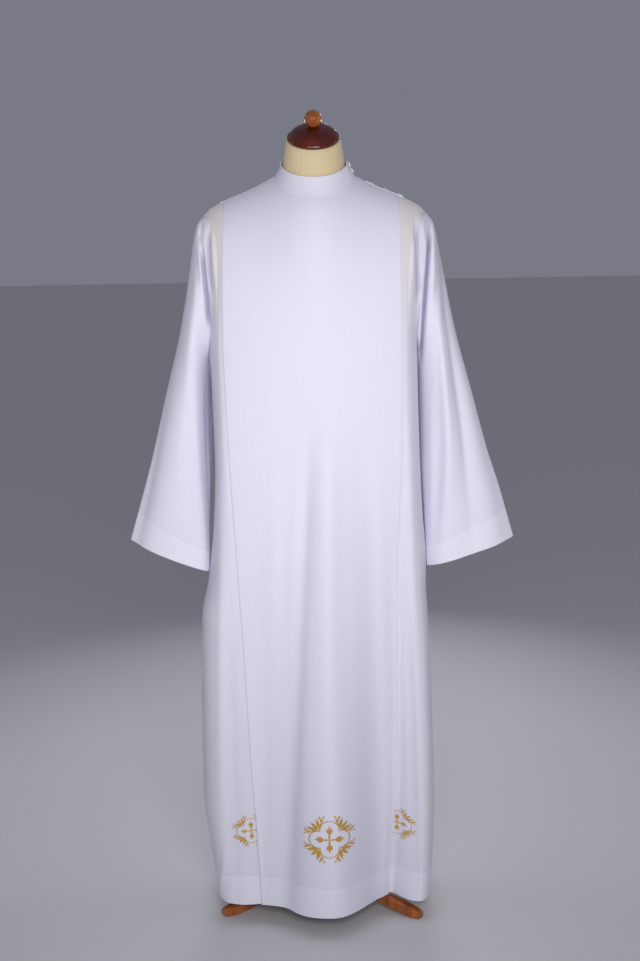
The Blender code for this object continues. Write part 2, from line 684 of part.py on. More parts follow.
def back():
    columns = back_columns()
    places = [(-b, turn) for b, turn in reversed(columns)] + [(0.0, 0.0)] + columns
    outer, inner = [], []
    for v in rows_of_garment():
        outer.append([])
        inner.append([])
        for b, turn in places:
            point = back_point(b, v)
            normal = normal_at(back_point, b, v, 1, -1.0, 1.0)
            if abs(b) == 1 or (v == 0 and turn == 0 and abs(b) > NECK_PLACE - 1e-6):
                normal = level_normal(normal)
            elif v == 0 and turn > 0:
                normal = armhole_normal(normal, turn)
            outer[-1].append(point)
            inner[-1].append(point - normal * thickness(v))
    return wall("back", outer, inner, CLOTH_FINISH)


def sleeve_point(hand, angle, share):
    """A point of the sleeve: angle 0 outer, a quarter turn front, half a turn under the arm."""
    outer_z = ARMHOLE_TOP_Z + (CUFF_Z_OUTER[hand] - ARMHOLE_TOP_Z) * share
    inner_z = ARMHOLE_LOW_Z + (CUFF_Z_INNER[hand] - ARMHOLE_LOW_Z) * share
    outer = Vector((lookup(SLEEVE_OUTER, side_word(hand), outer_z), SEAM_Y, outer_z))
    inner = Vector((lookup(SLEEVE_INNER, side_word(hand), inner_z), SEAM_Y, inner_z))
    middle, half = (outer + inner) / 2, (outer - inner) / 2
    sine, cosine = math.sin(angle), math.cos(angle)
    depth = lookup(SLEEVE_DEPTH, "front" if sine > 0 else "back", share)
    pressed = 1 - SLEEVE_FLATTEN * ease(share) * (1 - abs(sine))
    swing = SLEEVE_SWING * ease(share / 0.25) * ease((1 - share) / 0.5) * sine * (1 - cosine) / 2
    spoke = half * cosine + Vector((swing, -depth * pressed * sine, 0))
    sink = 0.0
    for fold in SLEEVE_FOLDS:
        if fold.begin <= share <= fold.end:
            if share < fold.deepest:
                growth = ease((share - fold.begin) / (fold.deepest - fold.begin))
            else:
                growth = ease((fold.end - share) / (fold.end - fold.deepest))
            off = (math.degrees(angle) - fold.angle + 180) % 360 - 180
            sink += fold.depth * growth * bell(off / fold.width)
    point = middle + spoke - spoke.normalized() * sink
    point = Vector((hand * (point.x + SEAM_GAP), point.y, point.z))
    turn = min(angle % (2 * math.pi), -angle % (2 * math.pi))
    front = math.sin(angle) > 0
    corner_cut = armhole(hand, turn, front) - armhole_curve(hand, turn, front)
    return point + corner_cut * (1 - ease(share / 0.08))


def sleeve_normal(hand, angle, share):
    step = 0.01
    across = sleeve_point(hand, angle + step, share) - sleeve_point(hand, angle - step, share)
    high, low = max(0.0, share - step), share + step
    down = sleeve_point(hand, angle, low) - sleeve_point(hand, angle, high)
    normal = across.cross(down).normalized() * hand
    if share == 0:
        turn = min(angle, 2 * math.pi - angle)
        return armhole_normal(normal, turn)
    return normal


def sleeve(name, hand):
    outer, inner = [], []
    for share in SLEEVE_ROWS:
        cloth = HEM_CLOTH if share >= CUFF_START else CLOTH
        outer.append([])
        inner.append([])
        for i in range(SLEEVE_COLUMN_COUNT):
            angle = 2 * math.pi * i / SLEEVE_COLUMN_COUNT
            point = sleeve_point(hand, angle, share)
            outer[-1].append(point)
            inner[-1].append(point - sleeve_normal(hand, angle, share) * cloth)
    return wall(name, outer, inner, CLOTH_FINISH, closed=True)


# ---------------------------------------------------------------- collar and closure
COLLAR_FRONT_END, COLLAR_BACK_END = 98, 82 - 360   # degrees from front centre round the neck
COLLAR_LAP_START = math.radians(58)
COLLAR_LAP_LIFT = 0.0022
COLLAR_TOP_WIDTH, COLLAR_TOP_Y, COLLAR_TOP_Z = 0.0675, -0.0100, 1.5630
COLLAR_TOP_FRONT, COLLAR_TOP_BACK = 0.0725, 0.0680
COLLAR_TOP_DROP, COLLAR_TOP_RISE = 0.0300, 0.0190


def collar_point(angle, height):
    """The stand collar: angle 0 front centre, a quarter turn the wearer's left side."""
    sine, cosine = math.sin(angle), math.cos(angle)
    seam = neckline(sine, cosine >= 0)
    reach = COLLAR_TOP_FRONT if cosine >= 0 else COLLAR_TOP_BACK
    rise = COLLAR_TOP_DROP if cosine >= 0 else COLLAR_TOP_RISE
    brim = Vector((COLLAR_TOP_WIDTH * sine, COLLAR_TOP_Y - reach * cosine, COLLAR_TOP_Z - rise * cosine))
    inward = 1 - (1 - height) ** 1.7
    point = Vector((seam.x + (brim.x - seam.x) * inward, seam.y + (brim.y - seam.y) * inward,
                    seam.z + (brim.z - seam.z) * height + SEAM_GAP))
    lift = COLLAR_LAP_LIFT * ease((angle - COLLAR_LAP_START) / math.radians(18))
    return point + Vector((sine, -cosine, 0.5)) * lift


def collar_normal(angle, height):
    step = 0.01
    across = collar_point(angle + step, height) - collar_point(angle - step, height)
    up = collar_point(angle, min(1, height + step)) - collar_point(angle, max(0, height - step))
    normal = across.cross(up).normalized()
    outward = Vector((math.sin(angle), -math.cos(angle), 0))
    return normal if normal.dot(outward) > 0 else -normal


def collar_turns():
    """Angles round the collar: those of the neckline's corners and halfway between them."""
    corners = [0] + NECK_ANGLES
    quarter = corners + [(a + b) / 2 for a, b in zip(corners, corners[1:])]
    half = quarter + [180 - turn for turn in quarter]
    turns = {turn - lap for turn in half + [-turn for turn in half] for lap in (0, 360)}
    return sorted(turn for turn in turns if COLLAR_BACK_END <= turn <= COLLAR_FRONT_END)


def collar():
    outer, inner = [], []
    for height in COLLAR_ROWS:
        outer.append([])
        inner.append([])
        for turn in collar_turns():
            angle = math.radians(turn)
            point = collar_point(angle, height)
            outer[-1].append(point)
            inner[-1].append(point - collar_normal(angle, height) * CLOTH)
    return wall("collar", outer, inner, CLOTH_FINISH)


PLACKET_LIFT = 0.0007
PLACKET_PLACES = [0.25, 0.31, 0.37, 0.41]
PLACKET_ROWS = [0.006, 0.035, 0.062]


def shoulder_placket():
    """The strip under the shoulder opening, on the back's edge at the wearer's left."""
    outer, inner = [], []
    for v in PLACKET_ROWS:
        outer.append([])
        inner.append([])
        for b in PLACKET_PLACES:
            point, normal = back_point(b, v), normal_at(back_point, b, v, 1)
            outer[-1].append(point + normal * (PLACKET_LIFT + CLOTH))
            inner[-1].append(point + normal * PLACKET_LIFT)
    return wall("shoulder_placket", outer, inner, CLOTH_FINISH)


BUTTON_RADIUS, BUTTON_THICK, BUTTON_ROUND = 0.0052, 0.0022, 0.0007
PLACKET_BUTTONS, PLACKET_BUTTON_ROW, PLACKET_BUTTON_SEAT = (0.27, 0.33, 0.39), 0.033, 0.0006
COLLAR_BUTTONS, COLLAR_BUTTON_TURN, COLLAR_BUTTON_SEAT = (0.74, 0.30), math.radians(88), 0.0009


def button(name, seat, normal):
    """A small round button lying on the cloth at a seat point."""
    low, high = 0.0, BUTTON_THICK
    rim = BUTTON_RADIUS - BUTTON_ROUND
    profile = [(0.0, high)]
    profile += arc((rim, high - BUTTON_ROUND), BUTTON_ROUND, 90, 0, 2)
    profile += arc((rim, low + BUTTON_ROUND), BUTTON_ROUND, 0, -90, 2)
    profile += [(0.0, low)]
    made = turned(name, profile, BUTTON_FINISH, steps=12)
    made.location = seat
    made.rotation_euler = normal.to_track_quat("Z", "Y").to_euler()
    return made


def buttons():
    seats = []
    for b in PLACKET_BUTTONS:
        normal = normal_at(back_point, b, PLACKET_BUTTON_ROW, 1)
        lift = PLACKET_LIFT + CLOTH + PLACKET_BUTTON_SEAT
        seats.append((back_point(b, PLACKET_BUTTON_ROW) + normal * lift, normal))
    for height in COLLAR_BUTTONS:
        normal = collar_normal(COLLAR_BUTTON_TURN, height)
        seats.append((collar_point(COLLAR_BUTTON_TURN, height) + normal * COLLAR_BUTTON_SEAT, normal))
    for number, (seat, normal) in enumerate(seats, 1):
        button(f"button_{number}", seat, normal)


# ---------------------------------------------------------------- the dress form and stand
FORM_SEGMENTS = 32


def form_sections():
    """The tabled sections, then the shoulders, which follow the cloth's shoulder line."""
    start, sections = FORM_SECTIONS[-1], list(FORM_SECTIONS)
    for number, x in enumerate(FORM_SHOULDER_X, 1):
        share = number / (len(FORM_SHOULDER_X) + 1)
        front, rear, exponent = (getattr(start, word) + (getattr(FORM_TOP, word) - getattr(start, word))
                                 * share for word in ("front", "back", "exponent"))
        z = lookup(SHOULDER_LINE, "z", x) - SHOULDER_DROP
        sections.append(Form(z, x, front, rear, exponent))
    return sections + [FORM_TOP]


def drawn_in(cloth, centre, ring, number):
    """One spoke of a level section, shortened to where neither it nor the section's sides
    beside it touch the cloth; the two tips lie under the shoulder seams and stay."""
    spoke = ring[number].copy()
    if number % (FORM_SEGMENTS // 2) == 0:
        return spoke
    for beside in (ring[number - 1], ring[(number + 1) % FORM_SEGMENTS]):
        for share in (0.0, 0.33, 0.67):
            way = ring[number].lerp(beside, share)
            _, normal, _, reach = cloth.ray_cast(centre, way)
            if reach:
                slant = max(0.3, abs(normal.dot(way.normalized())))
                spoke.length = min(spoke.length, reach - FORM_CLEAR / slant)
    return spoke


def form_torso(cloth_pieces):
    """The padded torso; its sections are drawn in wherever they would touch the cloth."""
    points, faces = [], []
    for piece in cloth_pieces:
        start = len(points)
        points += [vertex.co for vertex in piece.data.vertices]
        faces += [[start + i for i in face.vertices] for face in piece.data.polygons]
    cloth = BVHTree.FromPolygons(points, faces)
    rings = []
    for section in form_sections():
        centre = Vector((0, SEAM_Y, section.z))
        ring = []
        for i in range(FORM_SEGMENTS):
            angle = 2 * math.pi * i / FORM_SEGMENTS
            sine, cosine = math.sin(angle), math.cos(angle)
            power = 2 / section.exponent
            depth = section.back if sine > 0 else section.front
            ring.append(Vector((math.copysign(section.half_width * abs(cosine) ** power, cosine),
                                math.copysign(depth * abs(sine) ** power, sine), 0)))
        rings.append([centre + drawn_in(cloth, centre, ring, i) for i in range(FORM_SEGMENTS)])
    return loft("form_torso", rings, FORM_FINISH, 60)


def form_neck():
    rings = []
    for ring in NECK_RINGS:
        lean = math.radians(ring.lean_deg)
        points = []
        for i in range(FORM_SEGMENTS):
            angle = 2 * math.pi * i / FORM_SEGMENTS
            along = ring.half_depth * math.sin(angle)
            y = ring.y + along * math.cos(lean)
            points.append((ring.half_width * math.cos(angle), y, ring.z + along * math.sin(lean)))
        rings.append(points)
    return loft("form_neck", rings, FORM_FINISH, 60)


def neck_cap():
    """The turned wooden cap, with a rounded rim and a low dome, that closes the neck."""
    profile = [(0.0, CAP_DOME), (0.012, 0.0282), (0.022, 0.0270), (0.031, 0.0243),
               (0.039, 0.0200), (0.0455, 0.0145), (0.0505, 0.0090)]
    profile += arc((0.0490, 0.0045), 0.0045, 40, -90, 4)
    profile += [(0.0, 0.0)]
    made = turned("neck_cap", profile, DARK_WOOD_FINISH, steps=28)
    made.location = CAP_SEAT
    made.rotation_euler = (CAP_LEAN, 0, 0)
    return made


def cap_knob():
    """The turned ball knob, cut flat where it sits on the cap's dome, which leans with it."""
    radius, seat, centre_z = 0.0175, 0.0078, 0.0157
    profile = arc((0.0, centre_z), radius, 90, -58, 8)
    profile += [(seat, 0.0), (0.0, 0.0)]
    profile[0] = (0.0, centre_z + radius)
    made = turned("cap_knob", profile, WOOD_FINISH, steps=20)
    lean = Vector((0, -math.sin(CAP_LEAN), math.cos(CAP_LEAN)))
    made.location = CAP_SEAT + lean * (CAP_DOME + TOUCH_GAP)
    made.rotation_euler = (CAP_LEAN, 0, 0)
    return made


HUB_TOP, HUB_BOTTOM, HUB_RADIUS = 0.150, 0.058, 0.0340


def stand_hub():
    profile = [(0.0, HUB_TOP), (0.0185, HUB_TOP), (0.0215, HUB_TOP - 0.004),
               (0.0215, HUB_TOP - 0.022), (HUB_RADIUS, HUB_TOP - 0.030),
               (HUB_RADIUS, HUB_BOTTOM + 0.014), (HUB_RADIUS - 0.006, HUB_BOTTOM + 0.006),
               (0.0160, HUB_BOTTOM), (0.0, HUB_BOTTOM)]
    made = turned("stand_hub", profile, WOOD_FINISH, steps=24)
    made.location = HUB
    return made


def stand_pole():
    low, high = HUB_TOP + TOUCH_GAP, FORM_BOTTOM_Z - TOUCH_GAP
    profile = [(0.0, high), (POLE_RADIUS, high), (POLE_RADIUS, low), (0.0, low)]
    made = turned("stand_pole", profile, WOOD_FINISH, steps=24)
    made.location = HUB
    return made


def stand_leg(number):
    """One splayed leg, with eased edges and a foot cut flat to the floor."""
    rings = []
    for section in LEG_SECTIONS:
        middle = (section.top + section.underside) / 2
        high, wide = (section.top - section.underside) / 2, section.half_width
        ease_by = 0.004
        corners = [(wide, high - ease_by), (wide - ease_by, high)]
        corners += [(-x, y) for x, y in reversed(corners)]
        corners += [(-x, -y) for x, y in corners]
        rings.append([(section.reach, across, middle + up) for across, up in corners])
    made = loft(f"stand_leg_{number}", rings, WOOD_FINISH, 30)
    made.location = HUB
    made.rotation_euler = (0, 0, LEG_TURN + 2 * math.pi * number / LEG_COUNT)
    return made


# ---------------------------------------------------------------- build
for old in list(bpy.data.objects):
    bpy.data.objects.remove(old, do_unlink=True)

PARTS = bpy.data.collections.new(OBJECT_NAME)
bpy.context.scene.collection.children.link(PARTS)
ROOT = bpy.data.objects.new("garment_axis", None)
ROOT.location = (GARMENT_X, GARMENT_Y, 0)
PARTS.objects.link(ROOT)

CLOTH_FINISH = material("white_alb_cloth", (0.88, 0.88, 0.93), 0.75)
BUTTON_FINISH = material("white_button", (0.86, 0.86, 0.84), 0.30)
FORM_FINISH = material("cream_form_cover", (0.80, 0.66, 0.40), 0.85)
DARK_WOOD_FINISH = material("mahogany_cap", (0.085, 0.012, 0.006), 0.22)
WOOD_FINISH = material("stained_wood", (0.26, 0.075, 0.015), 0.38)

body_cloth = [front_panel(), side_front("side_front_left", -1), side_front("side_front_right", 1)]
body_cloth += [back(), collar()]
sleeve("sleeve_left", -1)
sleeve("sleeve_right", 1)
shoulder_placket()
buttons()
form_torso(body_cloth)
form_neck()
neck_cap()
cap_knob()
stand_pole()
stand_hub()
for leg_number in range(LEG_COUNT):
    stand_leg(leg_number)
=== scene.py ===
import math
from collections import namedtuple

import bmesh
import bpy
import numpy as np
from mathutils import Matrix, Vector


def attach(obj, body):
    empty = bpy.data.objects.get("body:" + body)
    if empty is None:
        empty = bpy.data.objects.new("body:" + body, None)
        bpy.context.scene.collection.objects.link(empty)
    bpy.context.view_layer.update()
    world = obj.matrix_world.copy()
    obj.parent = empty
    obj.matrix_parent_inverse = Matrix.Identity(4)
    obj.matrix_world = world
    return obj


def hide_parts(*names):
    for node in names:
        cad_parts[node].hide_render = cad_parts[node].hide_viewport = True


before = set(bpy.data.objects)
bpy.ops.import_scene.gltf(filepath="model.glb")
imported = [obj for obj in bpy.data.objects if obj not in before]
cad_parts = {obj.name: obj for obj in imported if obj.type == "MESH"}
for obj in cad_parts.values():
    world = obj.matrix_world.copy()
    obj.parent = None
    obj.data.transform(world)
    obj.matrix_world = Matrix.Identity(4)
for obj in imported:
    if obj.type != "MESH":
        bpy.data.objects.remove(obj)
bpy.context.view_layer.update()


def rows_of(kind, rows):
    """The rows of a table, as named tuples of one kind."""
    return [kind(*row) for row in rows]


def table(columns, rows):
    """A table whose kind of row is used nowhere else."""
    return rows_of(namedtuple("Row", columns), rows)


# -------- sizes of the garment
GARMENT_X, GARMENT_Y = -0.0042, -0.0351   # the garment's own axis in the model's frame
TO_MODEL = np.array([GARMENT_X, GARMENT_Y, 0])
CLOTH = 0.0015
HEM_CLOTH = 0.0023           # the turned-up double layer
LAYER_GAP = 0.0004
PLEAT_OPEN = 0.0011          # how much further the pleats' layers stand apart at the hem
PLEAT_OPEN_Z, PLEAT_OPEN_RUN = 0.95, 0.85   # below this height, over this run
SEAM_GAP = 0.0001
HEM_Z, HEM_DEPTH, HEM_STEP = 0.040, 0.060, 0.003
RING_Z = 1.185
SEAM_Y = 0.003
NECK_HALF_WIDTH, NECK_SIDE_Z, NECK_CROWN = 0.080, 1.536, 0.0205
NECK_FRONT_DEPTH, NECK_BACK_DEPTH = 0.097, 0.068
ARMHOLE_TOP_X, ARMHOLE_TOP_Z = 0.2255, 1.4595
ARMHOLE_LOW_X, ARMHOLE_LOW_Z = {-1: 0.2150, 1: 0.2050}, 1.1980
ARMHOLE_FRONT_DEPTH, ARMHOLE_BACK_DEPTH = 0.064, 0.068
PLEAT_TOP = {-1: 0.184, 1: 0.171}
RETURN_S = 0.73              # how far the layers behind a pleat reach in
EDGE_S = 1.045               # where the layer under the pleat comes out, past its edge
NECK_PLACE = 0.2             # share of the back's half width that is neckline
SHOULDER_END = 0.5           # and where its shoulder ends and its armhole begins
SHOULDER_SHARE = 0.147       # share of a side front's top that is shoulder
CUFF_Z_OUTER, CUFF_Z_INNER = {-1: 0.794, 1: 0.788}, {-1: 0.726, 1: 0.729}
SLEEVE_FLATTEN = 0.8         # how far the cuff is pressed to a flat lens, from 0 to 1
SLEEVE_SWING_FRONT = 0.014   # the inner side's front swings out by this, and its back in
SLEEVE_SWING_BACK = {-1: 0.031, 1: 0.024}
SLEEVE_SWING_RISE, SLEEVE_SWING_FALL = 0.25, 0.5   # shares of the length over which it grows and goes
SLEEVE_CORNER = {-1: 0.60, 1: 0.10}   # how square the inner front corner of a sleeve is
SLEEVE_CORNER_RISE = 0.3
CUFF_START = 0.912           # share of the sleeve's length where its hem begins
CUFF_GROOVE, CUFF_STEP = 0.0025, 0.005   # its stitch line's and its step's width, as shares too
SHOULDER_LEAN, NECK_FRONT_LEAN, NECK_BACK_LEAN = (0, 0.92, -0.40), (0, 1.25, -0.25), (0, 1.20, 0.10)
NECK_LEAN_WIDTH = 0.070
CUT_EDGE = 0.03              # how far below a cut edge its mitred end reaches, as v or a share
BACK_ROUNDNESS = 2 / 2.5     # the power that rounds the back's section
NECK_SEARCH_END, NECK_SEARCH_STEPS = 0.6, 24

SHOULDER_LINE = table("x z", [
    (NECK_HALF_WIDTH, NECK_SIDE_Z),
    (0.127, 1.5120),
    (0.183, 1.4890),
    (0.210, 1.4740),
    (ARMHOLE_TOP_X, ARMHOLE_TOP_Z),
])

# The front panel at a height: half widths to the pleat edges, how far forward they lie,
# the crown between them, and the rounded ridge that stands out of its middle.
PANEL_LEVELS = table("z left right edge_left edge_right crown ridge_x ridge ridge_width", [
    (0.040, 0.131, 0.131, 0.1165, 0.057, 0.000, 0.010, 0.110, 0.093),
    (0.200, 0.139, 0.144, 0.1160, 0.066, 0.001, 0.010, 0.096, 0.086),
    (0.300, 0.146, 0.151, 0.1150, 0.072, 0.002, 0.010, 0.080, 0.084),
    (0.540, 0.157, 0.154, 0.1130, 0.084, 0.008, 0.014, 0.047, 0.078),
    (0.750, 0.168, 0.156, 0.1100, 0.092, 0.016, 0.018, 0.026, 0.070),
    (0.980, 0.180, 0.168, 0.1040, 0.098, 0.024, 0.020, 0.008, 0.055),
    (RING_Z, 0.187, 0.1705, 0.1000, 0.100, 0.028, 0.020, 0.000, 0.055),
])

# The sides at a height: half width at the side seams, and how far each side front
# swells forward near its pleat and near its seam.
SIDE_LEVELS = table("z left right left_near left_far right_near right_far back", [
    (0.040, 0.2285, 0.2215, 0.125, 0.135, 0.130, 0.160, 0.186),
    (0.100, 0.2360, 0.2270, 0.125, 0.133, 0.128, 0.156, 0.183),
    (0.270, 0.2550, 0.2320, 0.121, 0.122, 0.116, 0.138, 0.172),
    (0.500, 0.2535, 0.2275, 0.118, 0.108, 0.102, 0.118, 0.158),
    (0.640, 0.2480, 0.2220, 0.114, 0.096, 0.098, 0.100, 0.149),
    (0.700, 0.2355, 0.2190, 0.112, 0.086, 0.097, 0.090, 0.146),
    (0.740, 0.2290, 0.2200, 0.108, 0.080, 0.096, 0.084, 0.144),
    (0.850, 0.2180, 0.2130, 0.100, 0.074, 0.096, 0.074, 0.138),
    (0.950, 0.2140, 0.2095, 0.093, 0.066, 0.093, 0.066, 0.134),
    (1.080, 0.2165, 0.2070, 0.085, 0.058, 0.090, 0.060, 0.130),
    (RING_Z, 0.2190, 0.2060, 0.080, 0.052, 0.086, 0.055, 0.128),
])

# Soft folds of the back: place across it, half width, depth at the hem, and where it begins.
BACK_FOLDS = table("place width depth start_z", [
    (-0.66, 0.10, 0.016, 0.86),
    (-0.33, 0.11, 0.026, 1.02),
    (0.02, 0.09, 0.020, 1.10),
    (0.36, 0.12, 0.028, 0.96),
    (0.70, 0.09, 0.015, 0.80),
])
# Places across the back's half width, against its share of the turn to the side seam.
BACK_TURNS = table("place turn", [
    (0.0, 0.0),
    (0.2, 0.30),
    (0.5, 0.58),
    (0.75, 0.69),
    (0.833, 0.74),
    (0.917, 0.84),
    (1.0, 1.0),
])

# The way the cloth leaves the armhole at an angle round it, in degrees from its top.
ARMHOLE_LEAVING = table("angle inward away down", [
    (0, 0.45, 0.88, 0.12),
    (30, 0.40, 0.76, 0.50),
    (60, 0.34, 0.46, 0.82),
    (90, 0.28, 0.26, 0.92),
    (120, 0.20, 0.20, 0.96),
    (150, 0.10, 0.14, 0.98),
    (180, 0.00, 0.10, 0.99),
])

# How far out the sleeves' outer and inner edges lie, and how deep they are, front and back.
SleeveEdge = namedtuple("SleeveEdge", "z left right")
SLEEVE_OUTER = rows_of(SleeveEdge, [
    (0.788, 0.3957, 0.4025),
    (0.905, 0.3610, 0.3700),
    (0.964, 0.3445, 0.3510),
    (1.088, 0.3140, 0.3185),
    (1.230, 0.2785, 0.2820),
    (1.349, 0.2570, 0.2590),
    (1.386, 0.2515, 0.2520),
    (1.410, 0.2475, 0.2475),
    (1.440, 0.2405, 0.2405),
    (ARMHOLE_TOP_Z, ARMHOLE_TOP_X, ARMHOLE_TOP_X),
])
SLEEVE_INNER = rows_of(SleeveEdge, [
    (0.726, 0.2310, 0.2225),
    (0.780, 0.2300, 0.2200),
    (0.850, 0.2300, 0.2180),
    (0.950, 0.2310, 0.2160),
    (1.050, 0.2320, 0.2140),
    (1.150, 0.2290, 0.2110),
    (ARMHOLE_LOW_Z, ARMHOLE_LOW_X[-1], ARMHOLE_LOW_X[1]),
])
SLEEVE_DEPTH = table("share front back", [
    (0.0, ARMHOLE_FRONT_DEPTH, ARMHOLE_BACK_DEPTH),
    (0.3, 0.062, 0.068),
    (0.6, 0.056, 0.066),
    (1.0, 0.048, 0.062),
])

# Folds of a sleeve: the angle round it where the fold starts and where it ends, its half
# width in degrees, its depth (negative stands out), and the shares of the sleeve's length
# where it begins, is deepest and ends.
SleeveFold = namedtuple("SleeveFold", "angle angle_end width depth begin deepest end")
SLEEVE_FOLDS = {
    -1: rows_of(SleeveFold, [
        (48, 48, 20, 0.0050, 0.00, 0.12, 0.34),
        (312, 312, 20, 0.0095, 0.00, 0.14, 0.38),
        (140, 142, 18, -0.0095, 0.12, 0.60, 1.40),
        (40, 60, 18, -0.0030, 0.25, 0.90, 1.60),
        (14, 30, 15, 0.0035, 0.35, 1.00, 1.60),
        (232, 224, 22, 0.0075, 0.15, 0.85, 1.50),
        (268, 262, 20, -0.0060, 0.20, 0.80, 1.50),
        (305, 300, 20, 0.0065, 0.35, 1.00, 1.50),
    ]),
    1: rows_of(SleeveFold, [
        (28, 88, 15, 0.0100, 0.08, 0.50, 1.60),
        (312, 312, 20, 0.0095, 0.00, 0.14, 0.38),
        (69, 129, 15, -0.0100, 0.10, 0.50, 1.60),
        (140, 146, 14, -0.0050, 0.16, 0.60, 1.40),
        (10, 56, 16, -0.0040, 0.30, 1.00, 1.60),
        (238, 228, 22, 0.0085, 0.15, 0.85, 1.50),
        (276, 268, 20, -0.0060, 0.25, 0.85, 1.50),
        (310, 304, 20, 0.0060, 0.40, 1.00, 1.50),
    ]),
}


# -------- small tools
def hermite_weights(t):
    return (2 * t**3 - 3 * t**2 + 1, t**3 - 2 * t**2 + t, -2 * t**3 + 3 * t**2, t**3 - t**2)


def curve(rows, column):
    """A smooth reading of a table's column against its first column, without overshoot."""
    rows = sorted(rows, key=lambda row: row[0])
    keys = np.array([row[0] for row in rows])
    values = np.array([getattr(row, column) for row in rows])
    slopes = np.diff(values) / np.diff(keys)
    before, after = slopes[:-1], slopes[1:]
    same_way = before * after > 0
    mean = 2 * before * after / np.where(same_way, before + after, 1)
    tangents = np.concatenate([slopes[:1], np.where(same_way, mean, 0), slopes[-1:]])

    def read(at):
        at = np.clip(at, keys[0], keys[-1])
        i = np.clip(np.searchsorted(keys, at, side="right") - 1, 0, len(keys) - 2)
        run = keys[i + 1] - keys[i]
        a, b, c, d = hermite_weights((at - keys[i]) / run)
        return a * values[i] + b * run * tangents[i] + c * values[i + 1] + d * run * tangents[i + 1]

    return read


def readers(table):
    return {column: curve(table, column) for column in table[0]._fields[1:]}


def ease(t):
    t = np.clip(t, 0, 1)
    return t * t * (3 - 2 * t)


def bell(t):
    return np.exp(-np.square(t))


def mix(a, b, share):
    """Blend two arrays of points by an array of shares."""
    share = np.asarray(share)[..., None]
    return np.asarray(a) * (1 - share) + np.asarray(b) * share


def points(x, y, z):
    return stacked(*np.broadcast_arrays(x, y, z)).astype(float)


def stacked(*parts):
    """Arrays side by side in a new last axis."""
    return np.stack(parts, axis=-1)


def unit(vectors):
    return vectors / np.linalg.norm(vectors, axis=-1, keepdims=True)


def run_along(line):
    """How far each point of a line lies along it."""
    return np.concatenate([[0], np.cumsum(np.linalg.norm(np.diff(line, axis=0), axis=1))])


def read_at(at, gone, values):
    """The columns of values along a line, at places along it."""
    return stacked(*(np.interp(at, gone, values[:, i]) for i in range(values.shape[1])))


def side_word(hand):
    return "right" if hand > 0 else "left"


def by_side(place, table):
    """A value for each place, by its side: table has one for -1 and one for 1."""
    return np.where(np.asarray(place) > 0, table[1], table[-1])


PANEL = readers(PANEL_LEVELS)
SIDE = readers(SIDE_LEVELS)
SHOULDER = readers(SHOULDER_LINE)["z"]
BACK_TURN = readers(BACK_TURNS)["turn"]
LEAVING = readers(ARMHOLE_LEAVING)
OUTER_X = readers(SLEEVE_OUTER)
INNER_X = readers(SLEEVE_INNER)
SLEEVE_REACH = readers(SLEEVE_DEPTH)


# -------- the garment's form
def shoulder_z(x):
    x = np.abs(x)
    over_neck = NECK_SIDE_Z + NECK_CROWN * (1 - (x / NECK_HALF_WIDTH) ** 2)
    return np.where(x < NECK_HALF_WIDTH, over_neck, SHOULDER(x))


def armhole(hand, angle, front):
    top = np.array([ARMHOLE_TOP_X, ARMHOLE_TOP_Z])
    low = np.array([ARMHOLE_LOW_X[hand], ARMHOLE_LOW_Z])
    x, z = ((top[i] + low[i]) / 2 + (top[i] - low[i]) / 2 * np.cos(angle) for i in (0, 1))
    depth = -ARMHOLE_FRONT_DEPTH if front else ARMHOLE_BACK_DEPTH
    return points(hand * x, SEAM_Y + depth * np.sin(angle), z)


def armhole_angle(place, start):
    """The angle round the armhole, which takes up the places from start to 1."""
    return math.pi * np.clip((place - start) / (1 - start), 0, 1)


def panel_level(s, z):
    left, right = PANEL["left"](z), PANEL["right"](z)
    x = s * np.where(s > 0, right, left)
    edge_left, edge_right = PANEL["edge_left"](z), PANEL["edge_right"](z)
    edge = edge_left + (edge_right - edge_left) * (x + left) / (left + right)
    off = np.abs(x - PANEL["ridge_x"](z)) / PANEL["ridge_width"](z)
    ridge = PANEL["ridge"](z) * np.exp(-off**3)
    return points(x, -(edge + PANEL["crown"](z) * (1 - s * s) + ridge), z)


def side_level(hand, t, z):
    word = side_word(hand)
    start = panel_level(np.full_like(z, hand * EDGE_S), z)
    half = SIDE[word](z)
    inner = np.abs(start[..., 0])
    near = points(hand * (inner + 0.5 * (half - inner)), -SIDE[word + "_near"](z), z)
    far = points(hand * half, -SIDE[word + "_far"](z), z)
    end = points(hand * half, SEAM_Y, z)
    u, t = (1 - t)[..., None], t[..., None]
    return u**3 * start + 3 * u * u * t * near + 3 * u * t * t * far + t**3 * end


def back_level(b, z):
    angle = BACK_TURN(np.abs(b)) * math.pi / 2
    half = np.where(b > 0, SIDE["right"](z), SIDE["left"](z))
    x = np.sign(b) * half * np.sin(angle) ** BACK_ROUNDNESS
    y = SIDE["back"](z) * np.maximum(0, np.cos(angle)) ** BACK_ROUNDNESS
    for fold in BACK_FOLDS:
        growth = ease((fold.start_z - z) / (fold.start_z - HEM_Z))
        y = y - fold.depth * growth * bell((b - fold.place) / fold.width)
    return points(x, SEAM_Y + y, z)


def thread(top, below, lean, w):
    """A thread of the cloth from the shoulder line (w 0) to the first level ring (w 1)."""
    span = np.linalg.norm(top - below, axis=-1, keepdims=True)
    a, b, c, d = (weight[..., None] for weight in hermite_weights(w))
    return a * top + b * span * lean + c * below + d * span * np.array([0, 0, -1])


